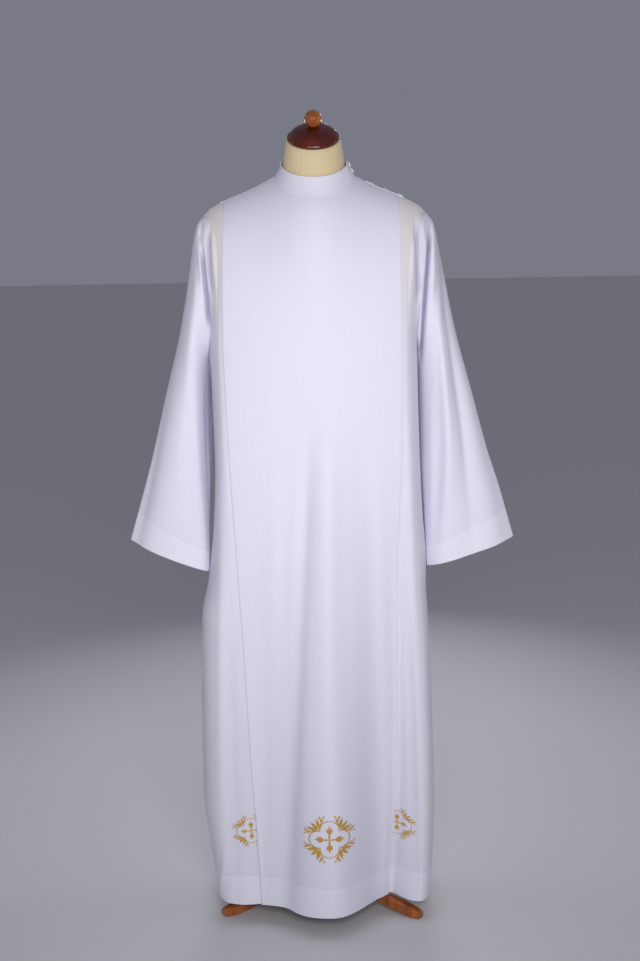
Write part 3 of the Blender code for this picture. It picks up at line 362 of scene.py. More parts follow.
def neck_cut(top, below, lean, depth):
    """Where the threads that start over the neck opening cross the collar seam."""
    x = np.abs(top[..., 0])
    over = x < NECK_HALF_WIDTH
    reach = depth * np.sqrt(np.clip(1 - (x / NECK_HALF_WIDTH) ** 2, 0, 1))
    low, high = np.zeros_like(x), np.full_like(x, NECK_SEARCH_END)
    for _ in range(NECK_SEARCH_STEPS):
        middle = (low + high) / 2
        crossed = np.abs(thread(top, below, lean, middle)[..., 1] - SEAM_Y) > reach
        low, high = np.where(crossed, low, middle), np.where(crossed, middle, high)
    return np.where(over, low, 0.0)


def hang(top, below, lean, v, level, neck_depth=0.0):
    """Points of the cloth from its cut edge (v 0) along threads to the first level ring (v 1),
    then down through the levels, a metre for each unit of v."""
    cut = neck_cut(top, below, lean, neck_depth) if neck_depth else 0.0
    upper = thread(top, below, lean, cut + (1 - cut) * np.minimum(v, 1))
    lower = level(RING_Z - np.maximum(v - 1, 0))
    return np.where((v < 1)[..., None], upper, lower)


def towards(lean, front):
    across, away, up = lean
    return np.array([across, -away if front else away, up])


def shoulder_lean(x, front):
    neck_lean = NECK_FRONT_LEAN if front else NECK_BACK_LEAN
    return mix(towards(SHOULDER_LEAN, front), towards(neck_lean, front), bell(x / NECK_LEAN_WIDTH))


def armhole_lean(hand, angle, front):
    inward, away, down = (LEAVING[word](np.degrees(angle)) for word in ("inward", "away", "down"))
    return points(-hand * inward, -away if front else away, -down)


def panel_form(s, v):
    s, v = np.broadcast_arrays(np.asarray(s, float), v)
    x = s * by_side(s, PLEAT_TOP)
    top = points(x, SEAM_Y, shoulder_z(x))
    below = panel_level(s, np.full_like(s, RING_Z))
    return hang(top, below, shoulder_lean(x, True), v, lambda z: panel_level(s, z), NECK_FRONT_DEPTH)


def side_form(hand, t, v):
    t, v = np.broadcast_arrays(np.asarray(t, float), v)
    start = EDGE_S * PLEAT_TOP[hand]
    along = np.clip(t / SHOULDER_SHARE, 0, 1)
    angle = armhole_angle(t, SHOULDER_SHARE)
    x = start + (ARMHOLE_TOP_X - start) * along
    on_shoulder = (t <= SHOULDER_SHARE)[..., None]
    top = np.where(on_shoulder, points(hand * x, SEAM_Y, shoulder_z(x)), armhole(hand, angle, True))
    lean = mix(shoulder_lean(x, True), armhole_lean(hand, np.zeros_like(t), True), along)
    lean = np.where(on_shoulder, lean, armhole_lean(hand, angle, True))
    below = side_level(hand, t, np.full_like(t, RING_Z))
    return hang(top, below, lean, v, lambda z: side_level(hand, t, z))


def back_form(b, v):
    b, v = np.broadcast_arrays(np.asarray(b, float), v)
    place = np.abs(b)
    past_neck = np.clip((place - NECK_PLACE) / (SHOULDER_END - NECK_PLACE), 0, 1)
    x = NECK_HALF_WIDTH * np.minimum(1, place / NECK_PLACE)
    x = x + (ARMHOLE_TOP_X - NECK_HALF_WIDTH) * past_neck
    angle = armhole_angle(place, SHOULDER_END)
    right = (b > 0)[..., None]
    on_shoulder = (place <= SHOULDER_END)[..., None]
    arm, leaning = (np.where(right, form(1, angle, False), form(-1, angle, False))
                    for form in (armhole, armhole_lean))
    top = np.where(on_shoulder, points(np.sign(b) * x, SEAM_Y, shoulder_z(x)), arm)
    lean = mix(shoulder_lean(x, False), leaning, ease(past_neck * 3 - 2))
    lean = np.where(on_shoulder, lean, leaning)
    below = back_level(b, np.full_like(b, RING_Z))
    cloth = hang(top, below, lean, v, lambda z: back_level(b, z), NECK_BACK_DEPTH)
    return cloth + np.array([0, SEAM_GAP, 0])


def sleeve_form(hand, angle, share):
    angle, share = np.broadcast_arrays(np.asarray(angle, float), share)
    outer_z = ARMHOLE_TOP_Z + (CUFF_Z_OUTER[hand] - ARMHOLE_TOP_Z) * share
    inner_z = ARMHOLE_LOW_Z + (CUFF_Z_INNER[hand] - ARMHOLE_LOW_Z) * share
    outer = points(OUTER_X[side_word(hand)](outer_z), SEAM_Y, outer_z)
    inner = points(INNER_X[side_word(hand)](inner_z), SEAM_Y, inner_z)
    sine, cosine = np.sin(angle), np.cos(angle)
    reach = np.where(sine > 0, SLEEVE_REACH["front"](share), SLEEVE_REACH["back"](share))
    pressed = 1 - SLEEVE_FLATTEN * ease(share) * (1 - np.abs(sine))
    swing = np.where(sine > 0, SLEEVE_SWING_FRONT, SLEEVE_SWING_BACK[hand]) * sine * (1 - cosine) / 2
    swing = swing * ease(share / SLEEVE_SWING_RISE) * ease((1 - share) / SLEEVE_SWING_FALL)
    squarer = SLEEVE_CORNER[hand] * ease(share / SLEEVE_CORNER_RISE) * ((sine > 0) & (cosine < 0))
    forward = np.sign(sine) * np.abs(sine) ** (1 - squarer)
    spoke = (outer - inner) / 2 * cosine[..., None] + points(swing, -reach * pressed * forward, 0)
    sink = np.zeros_like(angle)
    for fold in SLEEVE_FOLDS[hand]:
        rising = ease((share - fold.begin) / (fold.deepest - fold.begin))
        falling = ease((fold.end - share) / (fold.end - fold.deepest))
        growth = np.where(share < fold.deepest, rising, falling)
        centre = fold.angle + (fold.angle_end - fold.angle) * np.clip(share, 0, 1)
        off = (np.degrees(angle) - centre + 180) % 360 - 180
        sink = sink + fold.depth * growth * bell(off / fold.width)
    point = (outer + inner) / 2 + spoke - unit(spoke) * sink[..., None]
    return point * np.array([hand, 1, 1]) + np.array([hand * SEAM_GAP, 0, 0])


# -------- from forms to cloth
def grid_normals(grid, sign, closed=False):
    """Outward normals of a grid of points, from the neighbours in both directions."""
    across = np.roll(grid, -1, 1) - np.roll(grid, 1, 1) if closed else np.gradient(grid, axis=1)
    return unit(np.cross(across, np.gradient(grid, axis=0))) * sign


def length_along(grid, axis):
    """How far each point lies along its row or column, in metres."""
    steps = np.linalg.norm(np.diff(grid, axis=axis), axis=-1)
    start = np.zeros_like(np.take(steps, [0], axis=axis))
    return np.concatenate([start, np.cumsum(steps, axis=axis)], axis=axis)


def quads(rows, columns, steps):
    r, c = np.mgrid[0:rows - 1, 0:steps]
    n = (c + 1) % columns
    corners = [(r, c), (r, n), (r + 1, n), (r + 1, c)]
    return stacked(*((row * columns + column).ravel() for row, column in corners))


def new_mesh(name, coordinates, faces, finishes):
    """A mesh from points about the garment's own axis."""
    mesh = bpy.data.meshes.new(name)
    mesh.from_pydata((coordinates + TO_MODEL).tolist(), [], faces)
    for finish in finishes:
        mesh.materials.append(finish)
    return mesh


def edited(mesh, change):
    """Make one change to a mesh that only bmesh can make."""
    shape = bmesh.new()
    shape.from_mesh(mesh)
    change(shape)
    shape.to_mesh(mesh)
    shape.free()


def place_piece(name, data, node_name=None):
    """Put a piece of the alb in the scene, in place of a CAD node where one is named."""
    made = bpy.data.objects.new(name, data)
    bpy.context.scene.collection.objects.link(made)
    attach(made, "root")
    if node_name:
        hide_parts(node_name)
    return made


SHARP_ANGLE = math.radians(60)


def shell(node_name, outer, inner, finishes, hem_row=None, closed=False, shade=None):
    """A thin closed shell between two grids, which replaces a CAD node. Its UVs are its own
    length and width."""
    rows, columns = outer.shape[:2]
    steps = columns if closed else columns - 1
    count = rows * columns
    face = quads(rows, columns, steps)
    edge = np.arange(columns)[:steps]
    rims = [(r * columns + edge, r * columns + (edge + 1) % columns) for r in (0, rows - 1)]
    if not closed:
        down = np.arange(rows - 1) * columns
        rims += [(down + c, down + columns + c) for c in (0, columns - 1)]
    ends = [stacked(a, b, b + count, a + count) for a, b in rims]
    faces = np.concatenate([face, face + count] + ends)
    coordinates = np.concatenate([outer.reshape(-1, 3), inner.reshape(-1, 3)])
    mesh = new_mesh("alb_" + node_name, coordinates, faces.tolist(), finishes)
    if hem_row is not None:
        in_hem = (faces % count // columns).min(axis=1) >= hem_row
        mesh.polygons.foreach_set("material_index", in_hem.astype(np.int32))
    around, along = length_along(outer, 1), length_along(outer, 0)
    place = faces % count
    u, v = around.ravel()[place], along.ravel()[place]
    if closed:
        wrap = around[:, -1] + np.linalg.norm(outer[:, 0] - outer[:, -1], axis=-1)
        turned_over = (place % columns == 0) & ((place % columns).max(axis=1) == columns - 1)[:, None]
        u = np.where(turned_over, wrap[place // columns], u)
    layer = mesh.uv_layers.new(name="length")
    layer.data.foreach_set("uv", stacked(u, v).ravel())
    # painted shade of the creases and of a sleeve by the body, which the cloth's material darkens with
    if shade is not None:
        dim = mesh.attributes.new("fold_shade", "FLOAT", "POINT")
        dim.data.foreach_set("value", np.tile(shade.ravel(), 2).astype(np.float32))
    edited(mesh, lambda shape: bmesh.ops.recalc_face_normals(shape, faces=shape.faces))
    mesh.shade_smooth()
    mesh.set_sharp_from_angle(angle=SHARP_ANGLE)
    return place_piece("alb_" + node_name, mesh, node_name)


# -------- where the cloth has points
NECK_TURNS = np.append(np.sin(np.radians(np.arange(4, 91, 4))), 1.0)
UPPER_V = np.linspace(0, 1, 64)[:-1] ** 1.4
HEM_TOP = HEM_Z + HEM_DEPTH
LEVEL_Z = np.concatenate([
    np.arange(RING_Z, HEM_TOP + 0.014, -0.010),
    HEM_TOP + np.array([0.0085, 0.005, 0.003, 0.0015, 0.0, -0.0015, -0.003, -0.006]),
    np.arange(HEM_TOP - 0.012, HEM_Z + 0.004, -0.008),
    HEM_Z + np.array([0.0025, 0.0008, 0.0]),
])
GARMENT_V = np.concatenate([UPPER_V, 1 + RING_Z - LEVEL_Z])[:, None]
ROW_Z = RING_Z - np.maximum(GARMENT_V - 1, 0)
HEM_ROW = int(np.argmax(GARMENT_V[:, 0] > 1 + RING_Z - HEM_TOP - 1e-6))
SLEEVE_SHARE = np.concatenate([
    np.linspace(0, 1, 60)[:-1] ** 1.6 * 0.3,
    np.arange(0.3, CUFF_START - 0.015, 0.013),
    CUFF_START + np.array([-0.012, -0.007, -0.004, -0.002, 0, 0.002, 0.004, 0.008]),
    np.arange(CUFF_START + 0.016, 0.995, 0.011),
    [0.997, 0.999, 1.0],
])[:, None]
CUFF_ROW = int(np.argmax(SLEEVE_SHARE[:, 0] > CUFF_START - 1e-6))
SLEEVE_COLUMNS = 270


def wall_thickness(z):
    """One layer of cloth above the hem, two in it."""
    return CLOTH + (HEM_CLOTH - CLOTH) * ease((HEM_TOP + HEM_STEP - z) / HEM_STEP)


def layer_gap():
    return LAYER_GAP + PLEAT_OPEN * ease((PLEAT_OPEN_Z - ROW_Z) / PLEAT_OPEN_RUN)


def at_cut_edge(v):
    """How near a cut edge is, from 1 at it to 0 a little below."""
    return 1 - ease(v / CUT_EDGE)


# -------- creases of the front
# A crease: where it starts, passes halfway and ends across the cloth, the heights of its
# ends, its half width at each end, how far it stands out (or sinks, if negative), and the
# share of its length over which it grows from nothing.
Crease = namedtuple("Crease", "x_top x_mid x_low z_top z_low width_top width_low rise fade")
PANEL_CREASES = rows_of(Crease, [
    (0.024, 0.0125, 0.030, 1.160, -0.30, 0.021, 0.034, 0.0125, 0.25),
    (-0.010, -0.058, -0.112, 1.160, -0.30, 0.013, 0.020, -0.0065, 0.26),
    (-0.090, -0.100, -0.112, 1.150, -0.30, 0.018, 0.022, 0.0040, 0.40),
    (0.118, 0.128, 0.126, 1.050, -0.30, 0.014, 0.018, 0.0040, 0.40),
])


def crease_rise(creases, x, z):
    """How far the cloth stands out at each place, for a table of creases."""
    rise = np.zeros_like(x)
    for crease in creases:
        share = (crease.z_top - z) / (crease.z_top - crease.z_low)
        a, b, c = (1 - share) * (1 - 2 * share), 4 * share * (1 - share), share * (2 * share - 1)
        path = a * crease.x_top + b * crease.x_mid + c * crease.x_low
        width = crease.width_top + (crease.width_low - crease.width_top) * np.clip(share, 0, 1)
        growth = ease(share / crease.fade) * ease((1 - share) / crease.fade)
        rise = rise + crease.rise * growth * bell((x - path) / width)
    return rise


# Creases over the armhole seam in front, which the side front and the sleeve share. Their
# places are measured outwards from the middle of the garment.
ARMHOLE_CREASES = {
    -1: rows_of(Crease, [
        (0.2180, 0.2240, 0.2165, 1.466, 1.320, 0.0045, 0.0055, 0.0030, 0.30),
        (0.2300, 0.2350, 0.2375, 1.470, 1.412, 0.0040, 0.0045, 0.0050, 0.35),
        (0.2350, 0.2320, 0.2290, 1.412, 1.310, 0.0042, 0.0050, 0.0045, 0.35),
        (0.2295, 0.2215, 0.2165, 1.415, 1.215, 0.0040, 0.0048, -0.0100, 0.25),
        (0.2110, 0.2135, 0.2090, 1.450, 1.290, 0.0038, 0.0044, -0.0080, 0.25),
    ]),
    1: rows_of(Crease, [
        (0.2105, 0.2225, 0.2135, 1.474, 1.300, 0.0045, 0.0055, 0.0040, 0.30),
        (0.2440, 0.2400, 0.2330, 1.465, 1.260, 0.0045, 0.0060, 0.0050, 0.30),
        (0.2020, 0.2050, 0.2050, 1.458, 1.260, 0.0040, 0.0048, -0.0090, 0.25),
        (0.2360, 0.2200, 0.2090, 1.460, 1.120, 0.0042, 0.0046, -0.0120, 0.22),
        (0.2500, 0.2560, 0.2620, 1.425, 1.190, 0.0050, 0.0070, -0.0045, 0.30),
    ]),
}
PLEAT_FLAT = 0.12            # share of the panel beside a pleat's edge where its creases fade out
# The darkness of the creases is painted shade, laid into the cloth's colour.
SHADED_DEPTH, SHADE_POWER = 0.0118, 1.5   # a crease this deep is as dark as one gets
IN_FRONT_RUN = 0.020         # these creases fade out over this much before the seam's plane
HEM_GROOVE, HEM_GROOVE_WIDTH = 0.0003, 0.0016
HEM_EASING = 0.090           # above the hem, how soon a layer gives way to the doubled one over it


def in_front(cloth):
    return ease((SEAM_Y - cloth[..., 1]) / IN_FRONT_RUN)


def armhole_rise(hand, cloth):
    """How far forward the cloth over the armhole seam stands, at points of either piece."""
    return crease_rise(ARMHOLE_CREASES[hand], np.abs(cloth[..., 0]), cloth[..., 2]) * in_front(cloth)


def fold_shade(hand, cloth):
    """How much of the light the creases over the armhole seam keep off, from 0 to 1: the share of painted
    shade the cloth gets there.
    """
    sinking = [crease for crease in ARMHOLE_CREASES[hand] if crease.rise < 0]
    sunk = -crease_rise(sinking, np.abs(cloth[..., 0]), cloth[..., 2])
    return np.clip(sunk / SHADED_DEPTH, 0, 1) ** SHADE_POWER * in_front(cloth)


def relaxed(cloth, weight, times):
    """The cloth with each thread drawn between its two neighbours, the outermost kept."""
    for _ in range(times):
        pull = (cloth[:, :-2] + cloth[:, 2:]) / 2 - cloth[:, 1:-1]
        cloth[:, 1:-1] += pull * weight
    return cloth


def hem_groove(z):
    """The stitch line that holds the turned-up hem draws the cloth in."""
    return -HEM_GROOVE * bell((z - HEM_TOP) / HEM_GROOVE_WIDTH)


PANEL_POINTS, BEYOND_POINTS = 34, 5   # across the panel beside its neck, and past a pleat's edge


def panel_columns():
    """Places across the front panel, a little past both pleat edges."""
    half = {}
    for hand in (-1, 1):
        past_neck = np.linspace(NECK_HALF_WIDTH / PLEAT_TOP[hand], 1, PANEL_POINTS)[1:]
        beyond = np.linspace(1, EDGE_S, BEYOND_POINTS)[1:]
        half[hand] = np.concatenate([NECK_TURNS * NECK_HALF_WIDTH / PLEAT_TOP[hand], past_neck, beyond])
    return np.concatenate([-half[-1][::-1], [0.0], half[1]])


PANEL_S = panel_columns()


def panel_cloth():
    form = panel_form(PANEL_S, GARMENT_V)
    flat_edge = ease((1 - np.abs(PANEL_S)) / PLEAT_FLAT)
    rise = crease_rise(PANEL_CREASES, form[..., 0], form[..., 2]) * flat_edge + hem_groove(form[..., 2])
    cloth = form + grid_normals(form, -1) * rise[..., None]
    normals = grid_normals(cloth, -1)
    on_shoulder = np.abs(PANEL_S) * by_side(PANEL_S, PLEAT_TOP) > NECK_HALF_WIDTH - 1e-6
    normals[..., 1] *= 1 - on_shoulder * at_cut_edge(GARMENT_V)
    return cloth, unit(normals)


PANEL_CLOTH, PANEL_NORMALS = panel_cloth()


FOLD_STEP = 20               # degrees of a pleat's rounded fold between two points of it


def front_panel():
    cloth = wall_thickness(ROW_Z)
    gap = layer_gap()
    shown = np.abs(PANEL_S) <= 1 + 1e-9
    main, out = PANEL_CLOTH[:, shown], PANEL_NORMALS[:, shown]
    places = PANEL_S[shown]
    across = unit(np.gradient(main, axis=1))
    outer, inner = [], []

    def add(surface, normals, outer_depth, inner_depth):
        outer.append(surface - normals * outer_depth[..., None])
        inner.append(surface - normals * inner_depth[..., None])

    def fold(hand, angles):
        c = -1 if hand > 0 else 0
        for angle in np.radians(angles):
            for grids, radius in ((outer, cloth + gap / 2), (inner, gap / 2)):
                depth = cloth + gap / 2 - radius * math.cos(angle)
                shift = hand * radius * math.sin(angle)
                grids.append((main[:, c] - out[:, c] * depth + across[:, c] * shift)[:, None])

    def returned(hand):
        kept = np.flatnonzero(places * hand >= RETURN_S)[::-1]
        add(main[:, kept], out[:, kept], 2 * cloth + gap, cloth + gap)

    returned(-1)
    fold(-1, range(180 - FOLD_STEP, 0, -FOLD_STEP))
    add(main, out, np.zeros_like(cloth), cloth)
    fold(1, range(FOLD_STEP, 180, FOLD_STEP))
    returned(1)
    grids = [np.concatenate(layers, axis=1) for layers in (outer, inner)]
    return shell("front_panel", *grids, ALB_FINISHES, HEM_ROW)


# Threads of a side front over its shoulder and round its armhole, closest at the shoulder.
SIDE_SHOULDER_POINTS, SIDE_ARMHOLE_POINTS, SIDE_CROWDING = 16, 150, 1.25


def side_columns():
    shoulder = np.linspace(0, SHOULDER_SHARE, SIDE_SHOULDER_POINTS)[1:]
    angles = np.linspace(0, 1, SIDE_ARMHOLE_POINTS)[1:] ** SIDE_CROWDING
    return np.concatenate([shoulder, SHOULDER_SHARE + (1 - SHOULDER_SHARE) * angles])


SIDE_T = side_columns()
EASED_HIDDEN = 6             # how many threads under the pleat are evened out too
SIDE_EASING = 220            # how often the side fronts' threads are evened out near the shoulder
EASED_PULL = 0.5             # how far towards the middle of its neighbours each time
EASED_RISE, EASED_END, EASED_FALL = 0.25, 1.35, 0.35   # and between which v
SIDE_SEAM_START, SIDE_SEAM_RUN = 0.965, 0.035   # where a side front's wall turns into the seam's plane
BACK_SEAM_START, BACK_SEAM_RUN = 0.98, 0.02     # and where the back's does
FOLD_PASSED = 1.005          # past this place the cloth has left the pleat's fold
HANG_POWER, SUNK_V = 1.5, 0.5   # how the layer under the pleat eases out to the seam, and by which v
SIDE_CREASES = {
    -1: rows_of(Crease, [
        (-0.196, -0.206, -0.222, 1.160, 0.020, 0.009, 0.015, 0.0035, 0.30),
        (-0.190, -0.190, -0.190, 0.720, -0.10, 0.012, 0.016, -0.0050, 0.35),
        (-0.205, -0.215, -0.224, 0.170, 0.030, 0.005, 0.006, 0.0030, 0.30),
    ]),
    1: rows_of(Crease, [
        (0.184, 0.190, 0.196, 1.150, 0.020, 0.008, 0.013, 0.0030, 0.30),
        (0.176, 0.182, 0.188, 0.760, -0.10, 0.009, 0.013, -0.0035, 0.35),
    ]),
}


MITRE_END, MITRE_RUN = math.pi / 2, math.pi / 3   # the mitre fades from this angle, over this one


def armhole_mitre(normals, angle, edge):
    """At the armhole the upper part of both walls is mitred in one plane across the arm."""
    keep = ease((angle - MITRE_END) / MITRE_RUN)
    normals[..., 0] *= 1 - edge * (1 - keep)
    return unit(normals)


def side_cloth(hand):
    """Outer points and normals of a side front: under the pleat, then out to the seam."""
    under = np.flatnonzero(PANEL_S * hand >= RETURN_S)
    under = under if hand > 0 else under[::-1]
    first = len(under)       # the first column that isn't hidden
    hidden = PANEL_CLOTH[:, under]
    form = side_form(hand, SIDE_T, GARMENT_V)
    rise = crease_rise(SIDE_CREASES[hand], form[..., 0], form[..., 2]) + hem_groove(form[..., 2])
    eased = ease(GARMENT_V / EASED_RISE) * ease((EASED_END - GARMENT_V) / EASED_FALL)
    taut, free = hidden[:, :-EASED_HIDDEN], hidden[:, -EASED_HIDDEN:]
    free = relaxed(np.concatenate([free, form], axis=1), eased[..., None] * EASED_PULL, SIDE_EASING)
    full = np.concatenate([taut, free], axis=1)
    full[:, first:] += grid_normals(full, -hand)[:, first:] * rise[..., None]
    full[:, first:, 1] -= armhole_rise(hand, full[:, first:])
    normals = grid_normals(full, -hand)
    normals[:, :first] = PANEL_NORMALS[:, under]
    normals[:, first - 1] = unit(normals[:, first - 1] + normals[:, first])
    at_edge = at_cut_edge(GARMENT_V)
    beyond = normals[:, first:]
    on_shoulder = SIDE_T <= SHOULDER_SHARE + 1e-9
    beyond[..., 1] *= 1 - at_edge * on_shoulder
    beyond[..., 1] *= 1 - ease((SIDE_T - SIDE_SEAM_START) / SIDE_SEAM_RUN)
    beyond[:] = armhole_mitre(beyond, armhole_angle(SIDE_T, SHOULDER_SHARE), at_edge * ~on_shoulder)
    hem_layer = (HEM_CLOTH - CLOTH) * ease((HEM_TOP + HEM_EASING - ROW_Z) / HEM_EASING)
    depth = 2 * (CLOTH + hem_layer + layer_gap())
    hanging = np.concatenate([np.ones(first), (1 - SIDE_T) ** HANG_POWER])
    past_fold = 1 - ease((np.abs(PANEL_S[under]) - FOLD_PASSED) / (EDGE_S - FOLD_PASSED))
    at_seam = np.concatenate([past_fold, np.zeros(len(SIDE_T))])
    sunk = depth * (at_seam + (hanging - at_seam) * ease(GARMENT_V / SUNK_V))
    return full - normals * sunk[..., None], normals


def hung_piece(node_name, cloth, finishes, shade=None):
    """The shell of a piece with a hem, from its outer points and normals."""
    outer, normals = cloth
    inner = outer - normals * wall_thickness(ROW_Z)[..., None]
    return shell(node_name, outer, inner, finishes, HEM_ROW, shade=shade)


BACK_SHOULDER_POINTS, BACK_ARMHOLE_POINTS = 24, 49   # threads over each shoulder and round each armhole


def back_columns():
    neck = NECK_TURNS * NECK_PLACE
    shoulder = np.linspace(NECK_PLACE, SHOULDER_END, BACK_SHOULDER_POINTS)[1:]
    arm = np.linspace(SHOULDER_END, 1, BACK_ARMHOLE_POINTS)[1:]
    half = np.concatenate([neck, shoulder, arm])
    return np.concatenate([-half[::-1], [0.0], half])


BACK_B = back_columns()


def back_cloth():
    form = back_form(BACK_B, GARMENT_V)
    form += grid_normals(form, 1) * hem_groove(form[..., 2])[..., None]
    normals = grid_normals(form, 1)
    place = np.abs(BACK_B)
    at_edge = at_cut_edge(GARMENT_V)
    normals[..., 1] *= 1 - at_edge * ((place >= NECK_PLACE - 1e-6) & (place <= SHOULDER_END))
    normals[..., 1] *= 1 - ease((place - BACK_SEAM_START) / BACK_SEAM_RUN)
    angle = armhole_angle(place, SHOULDER_END)
    return form, armhole_mitre(normals, angle, at_edge * (place > SHOULDER_END))


def sleeve_cloth(hand):
    angle = np.linspace(0, 2 * math.pi, SLEEVE_COLUMNS, endpoint=False)
    form = sleeve_form(hand, angle, SLEEVE_SHARE)
    form[..., 1] -= armhole_rise(hand, form)
    normals = grid_normals(form, hand, closed=True)
    groove = -HEM_GROOVE * bell((SLEEVE_SHARE - CUFF_START) / CUFF_GROOVE)
    form = form + normals * groove[..., None]
    turn = np.minimum(angle, 2 * math.pi - angle)
    return form, armhole_mitre(grid_normals(form, hand, closed=True), turn, at_cut_edge(SLEEVE_SHARE))


# Where a sleeve hangs against the body, the body keeps the light off, and that shade is painted
# into the sleeve's colour: the angle round the sleeve, the half width in degrees and how much.
BY_BODY_ANGLE, BY_BODY_WIDTH, BY_BODY_SHADE = 198, 24, 0.8
BY_BODY_RISE, BY_BODY_FALL = 0.25, 0.15   # shares of its length over which that grows and goes


def sleeve(hand):
    outer, normals = SLEEVE_CLOTH[hand]
    cloth = CLOTH + (HEM_CLOTH - CLOTH) * ease((SLEEVE_SHARE - CUFF_START) / CUFF_STEP + 1)
    inner = outer - normals * cloth[..., None]
    angle = np.linspace(0, 360, SLEEVE_COLUMNS, endpoint=False)
    # painted shade on the sleeve's inner side by the body, joined below with the painted shade of its
    # creases
    shade_by_body = bell((angle - BY_BODY_ANGLE) / BY_BODY_WIDTH) * ease(SLEEVE_SHARE / BY_BODY_RISE)
    shade_by_body = shade_by_body * ease((1 - SLEEVE_SHARE) / BY_BODY_FALL) * BY_BODY_SHADE
    shade = np.maximum(fold_shade(hand, outer), shade_by_body)
    return shell("sleeve_" + side_word(hand), outer, inner, ALB_FINISHES, CUFF_ROW, closed=True,
                 shade=shade)


# -------- collar
COLLAR_TURNS = np.radians(np.arange(82 - 360, 98 + 1, 2.0))   # all round, lapping at 90 degrees
COLLAR_LAP_START, COLLAR_LAP_RUN, COLLAR_LAP_LIFT = math.radians(58), math.radians(18), 0.0022
COLLAR_UPRIGHT = 1.7         # the power by which the band goes in sooner than it rises
COLLAR_TOP_WIDTH, COLLAR_TOP_Y, COLLAR_TOP_Z = 0.0675, -0.0100, 1.5630
COLLAR_TOP_FRONT, COLLAR_TOP_BACK = 0.0725, 0.0680
COLLAR_TOP_DROP, COLLAR_TOP_RISE = 0.0300, 0.0190
COLLAR_HEIGHTS = np.concatenate([np.linspace(0, 0.97, 22), [0.99, 1.0]])[:, None]
COLLAR_STITCH_HEIGHTS = np.array([0.80, 0.82, 0.84])[:, None]   # the stitches lie on the middle one


def collar_form(angle, height):
    angle, height = np.broadcast_arrays(np.asarray(angle, float), height)
    sine, cosine = np.sin(angle), np.cos(angle)
    zero = np.zeros_like(angle)
    front = (cosine >= 0)[..., None]
    seam = np.where(front, panel_form(sine * NECK_HALF_WIDTH / by_side(sine, PLEAT_TOP), zero),
                    back_form(sine * NECK_PLACE, zero))
    reach = np.where(cosine >= 0, COLLAR_TOP_FRONT, COLLAR_TOP_BACK)
    rise = np.where(cosine >= 0, COLLAR_TOP_DROP, COLLAR_TOP_RISE)
    brim = points(COLLAR_TOP_WIDTH * sine, COLLAR_TOP_Y - reach * cosine, COLLAR_TOP_Z - rise * cosine)
    inward = 1 - (1 - height) ** COLLAR_UPRIGHT
    share = stacked(inward, inward, height)
    point = seam + (brim - seam) * share + np.array([0, 0, SEAM_GAP])
    lift = COLLAR_LAP_LIFT * ease((angle - COLLAR_LAP_START) / COLLAR_LAP_RUN)
    return point + points(sine, -cosine, 0.5) * lift[..., None]


def collar_normals(grid):
    normals = grid_normals(grid, 1)
    outward = points(np.sin(COLLAR_TURNS), -np.cos(COLLAR_TURNS), 0)
    return normals * np.sign((normals * outward).sum(axis=-1))[..., None]


def collar():
    outer = collar_form(COLLAR_TURNS, COLLAR_HEIGHTS)
    return shell("collar", outer, outer - collar_normals(outer) * CLOTH, ALB_FINISHES)


# -------- placket and loops
PLACKET_PLACES, PLACKET_V, PLACKET_LIFT = (0.25, 0.41), (0.006, 0.062), 0.0007
PLACKET_ROWS, PLACKET_COLUMNS = 12, 30
PLACKET_SEAM_ROWS, PLACKET_SEAM_WIDTH = (1.5, 9.5), 0.8   # its two stitch lines, in rows
PLACKET_BUTTONS, PLACKET_BUTTON_V = (0.27, 0.33, 0.39), 0.033
COLLAR_BUTTONS, COLLAR_BUTTON_TURN = (0.74, 0.30), math.radians(88)
BUTTON_RADIUS = 0.0052
# A loop's cord's radius, lift, straight ends' length and half spacing, and half turn in degrees.
LOOP_CORD, LOOP_LIFT, LOOP_LEG, LOOP_ENDS, LOOP_TURN = 0.0007, 0.0012, 0.0075, 0.0022, 118
LOOP_POINTS, LOOP_ROUNDNESS = 25, 3
COLLAR_BUTTON_LIFT = 0.0004


def normal_on(form, a, b, sign):
    """The outward normal of a form at one place."""
    step = 0.004
    across = form(a + step, b) - form(a - step, b)
    down = form(a, b + step) - form(a, b)
    return unit(np.cross(across, down)).reshape(3) * sign


def shoulder_placket():
    """The strip of doubled cloth under the shoulder opening, lying on the back's edge."""
    place = np.linspace(*PLACKET_PLACES, PLACKET_COLUMNS)
    row = np.linspace(*PLACKET_V, PLACKET_ROWS)[:, None]
    below = back_form(place, row)
    normals = grid_normals(below, 1)
    grooved = sum(bell((np.arange(PLACKET_ROWS) - at) / PLACKET_SEAM_WIDTH) for at in PLACKET_SEAM_ROWS)
    outer = below + normals * (PLACKET_LIFT + CLOTH - (HEM_GROOVE * grooved)[:, None, None])
    return shell("shoulder_placket", outer, below + normals * PLACKET_LIFT, ALB_FINISHES)


def loop_points(centre, normal):
    """A cord loop round a button, whose two ends come from the front."""
    back = np.array([0, 1.0, 0.0])
    away = unit(back - normal * np.dot(back, normal))
    side = np.cross(normal, away)
    radius = BUTTON_RADIUS + LOOP_CORD
    turn = np.radians(np.linspace(-LOOP_TURN, LOOP_TURN, LOOP_POINTS))
    bend = [centre + radius * (math.cos(t) * away + math.sin(t) * side) for t in turn]
    ends = [centre - away * (radius + LOOP_LEG) + side * way * LOOP_ENDS for way in (-1, 1)]
    return [ends[0], *bend, ends[1]]


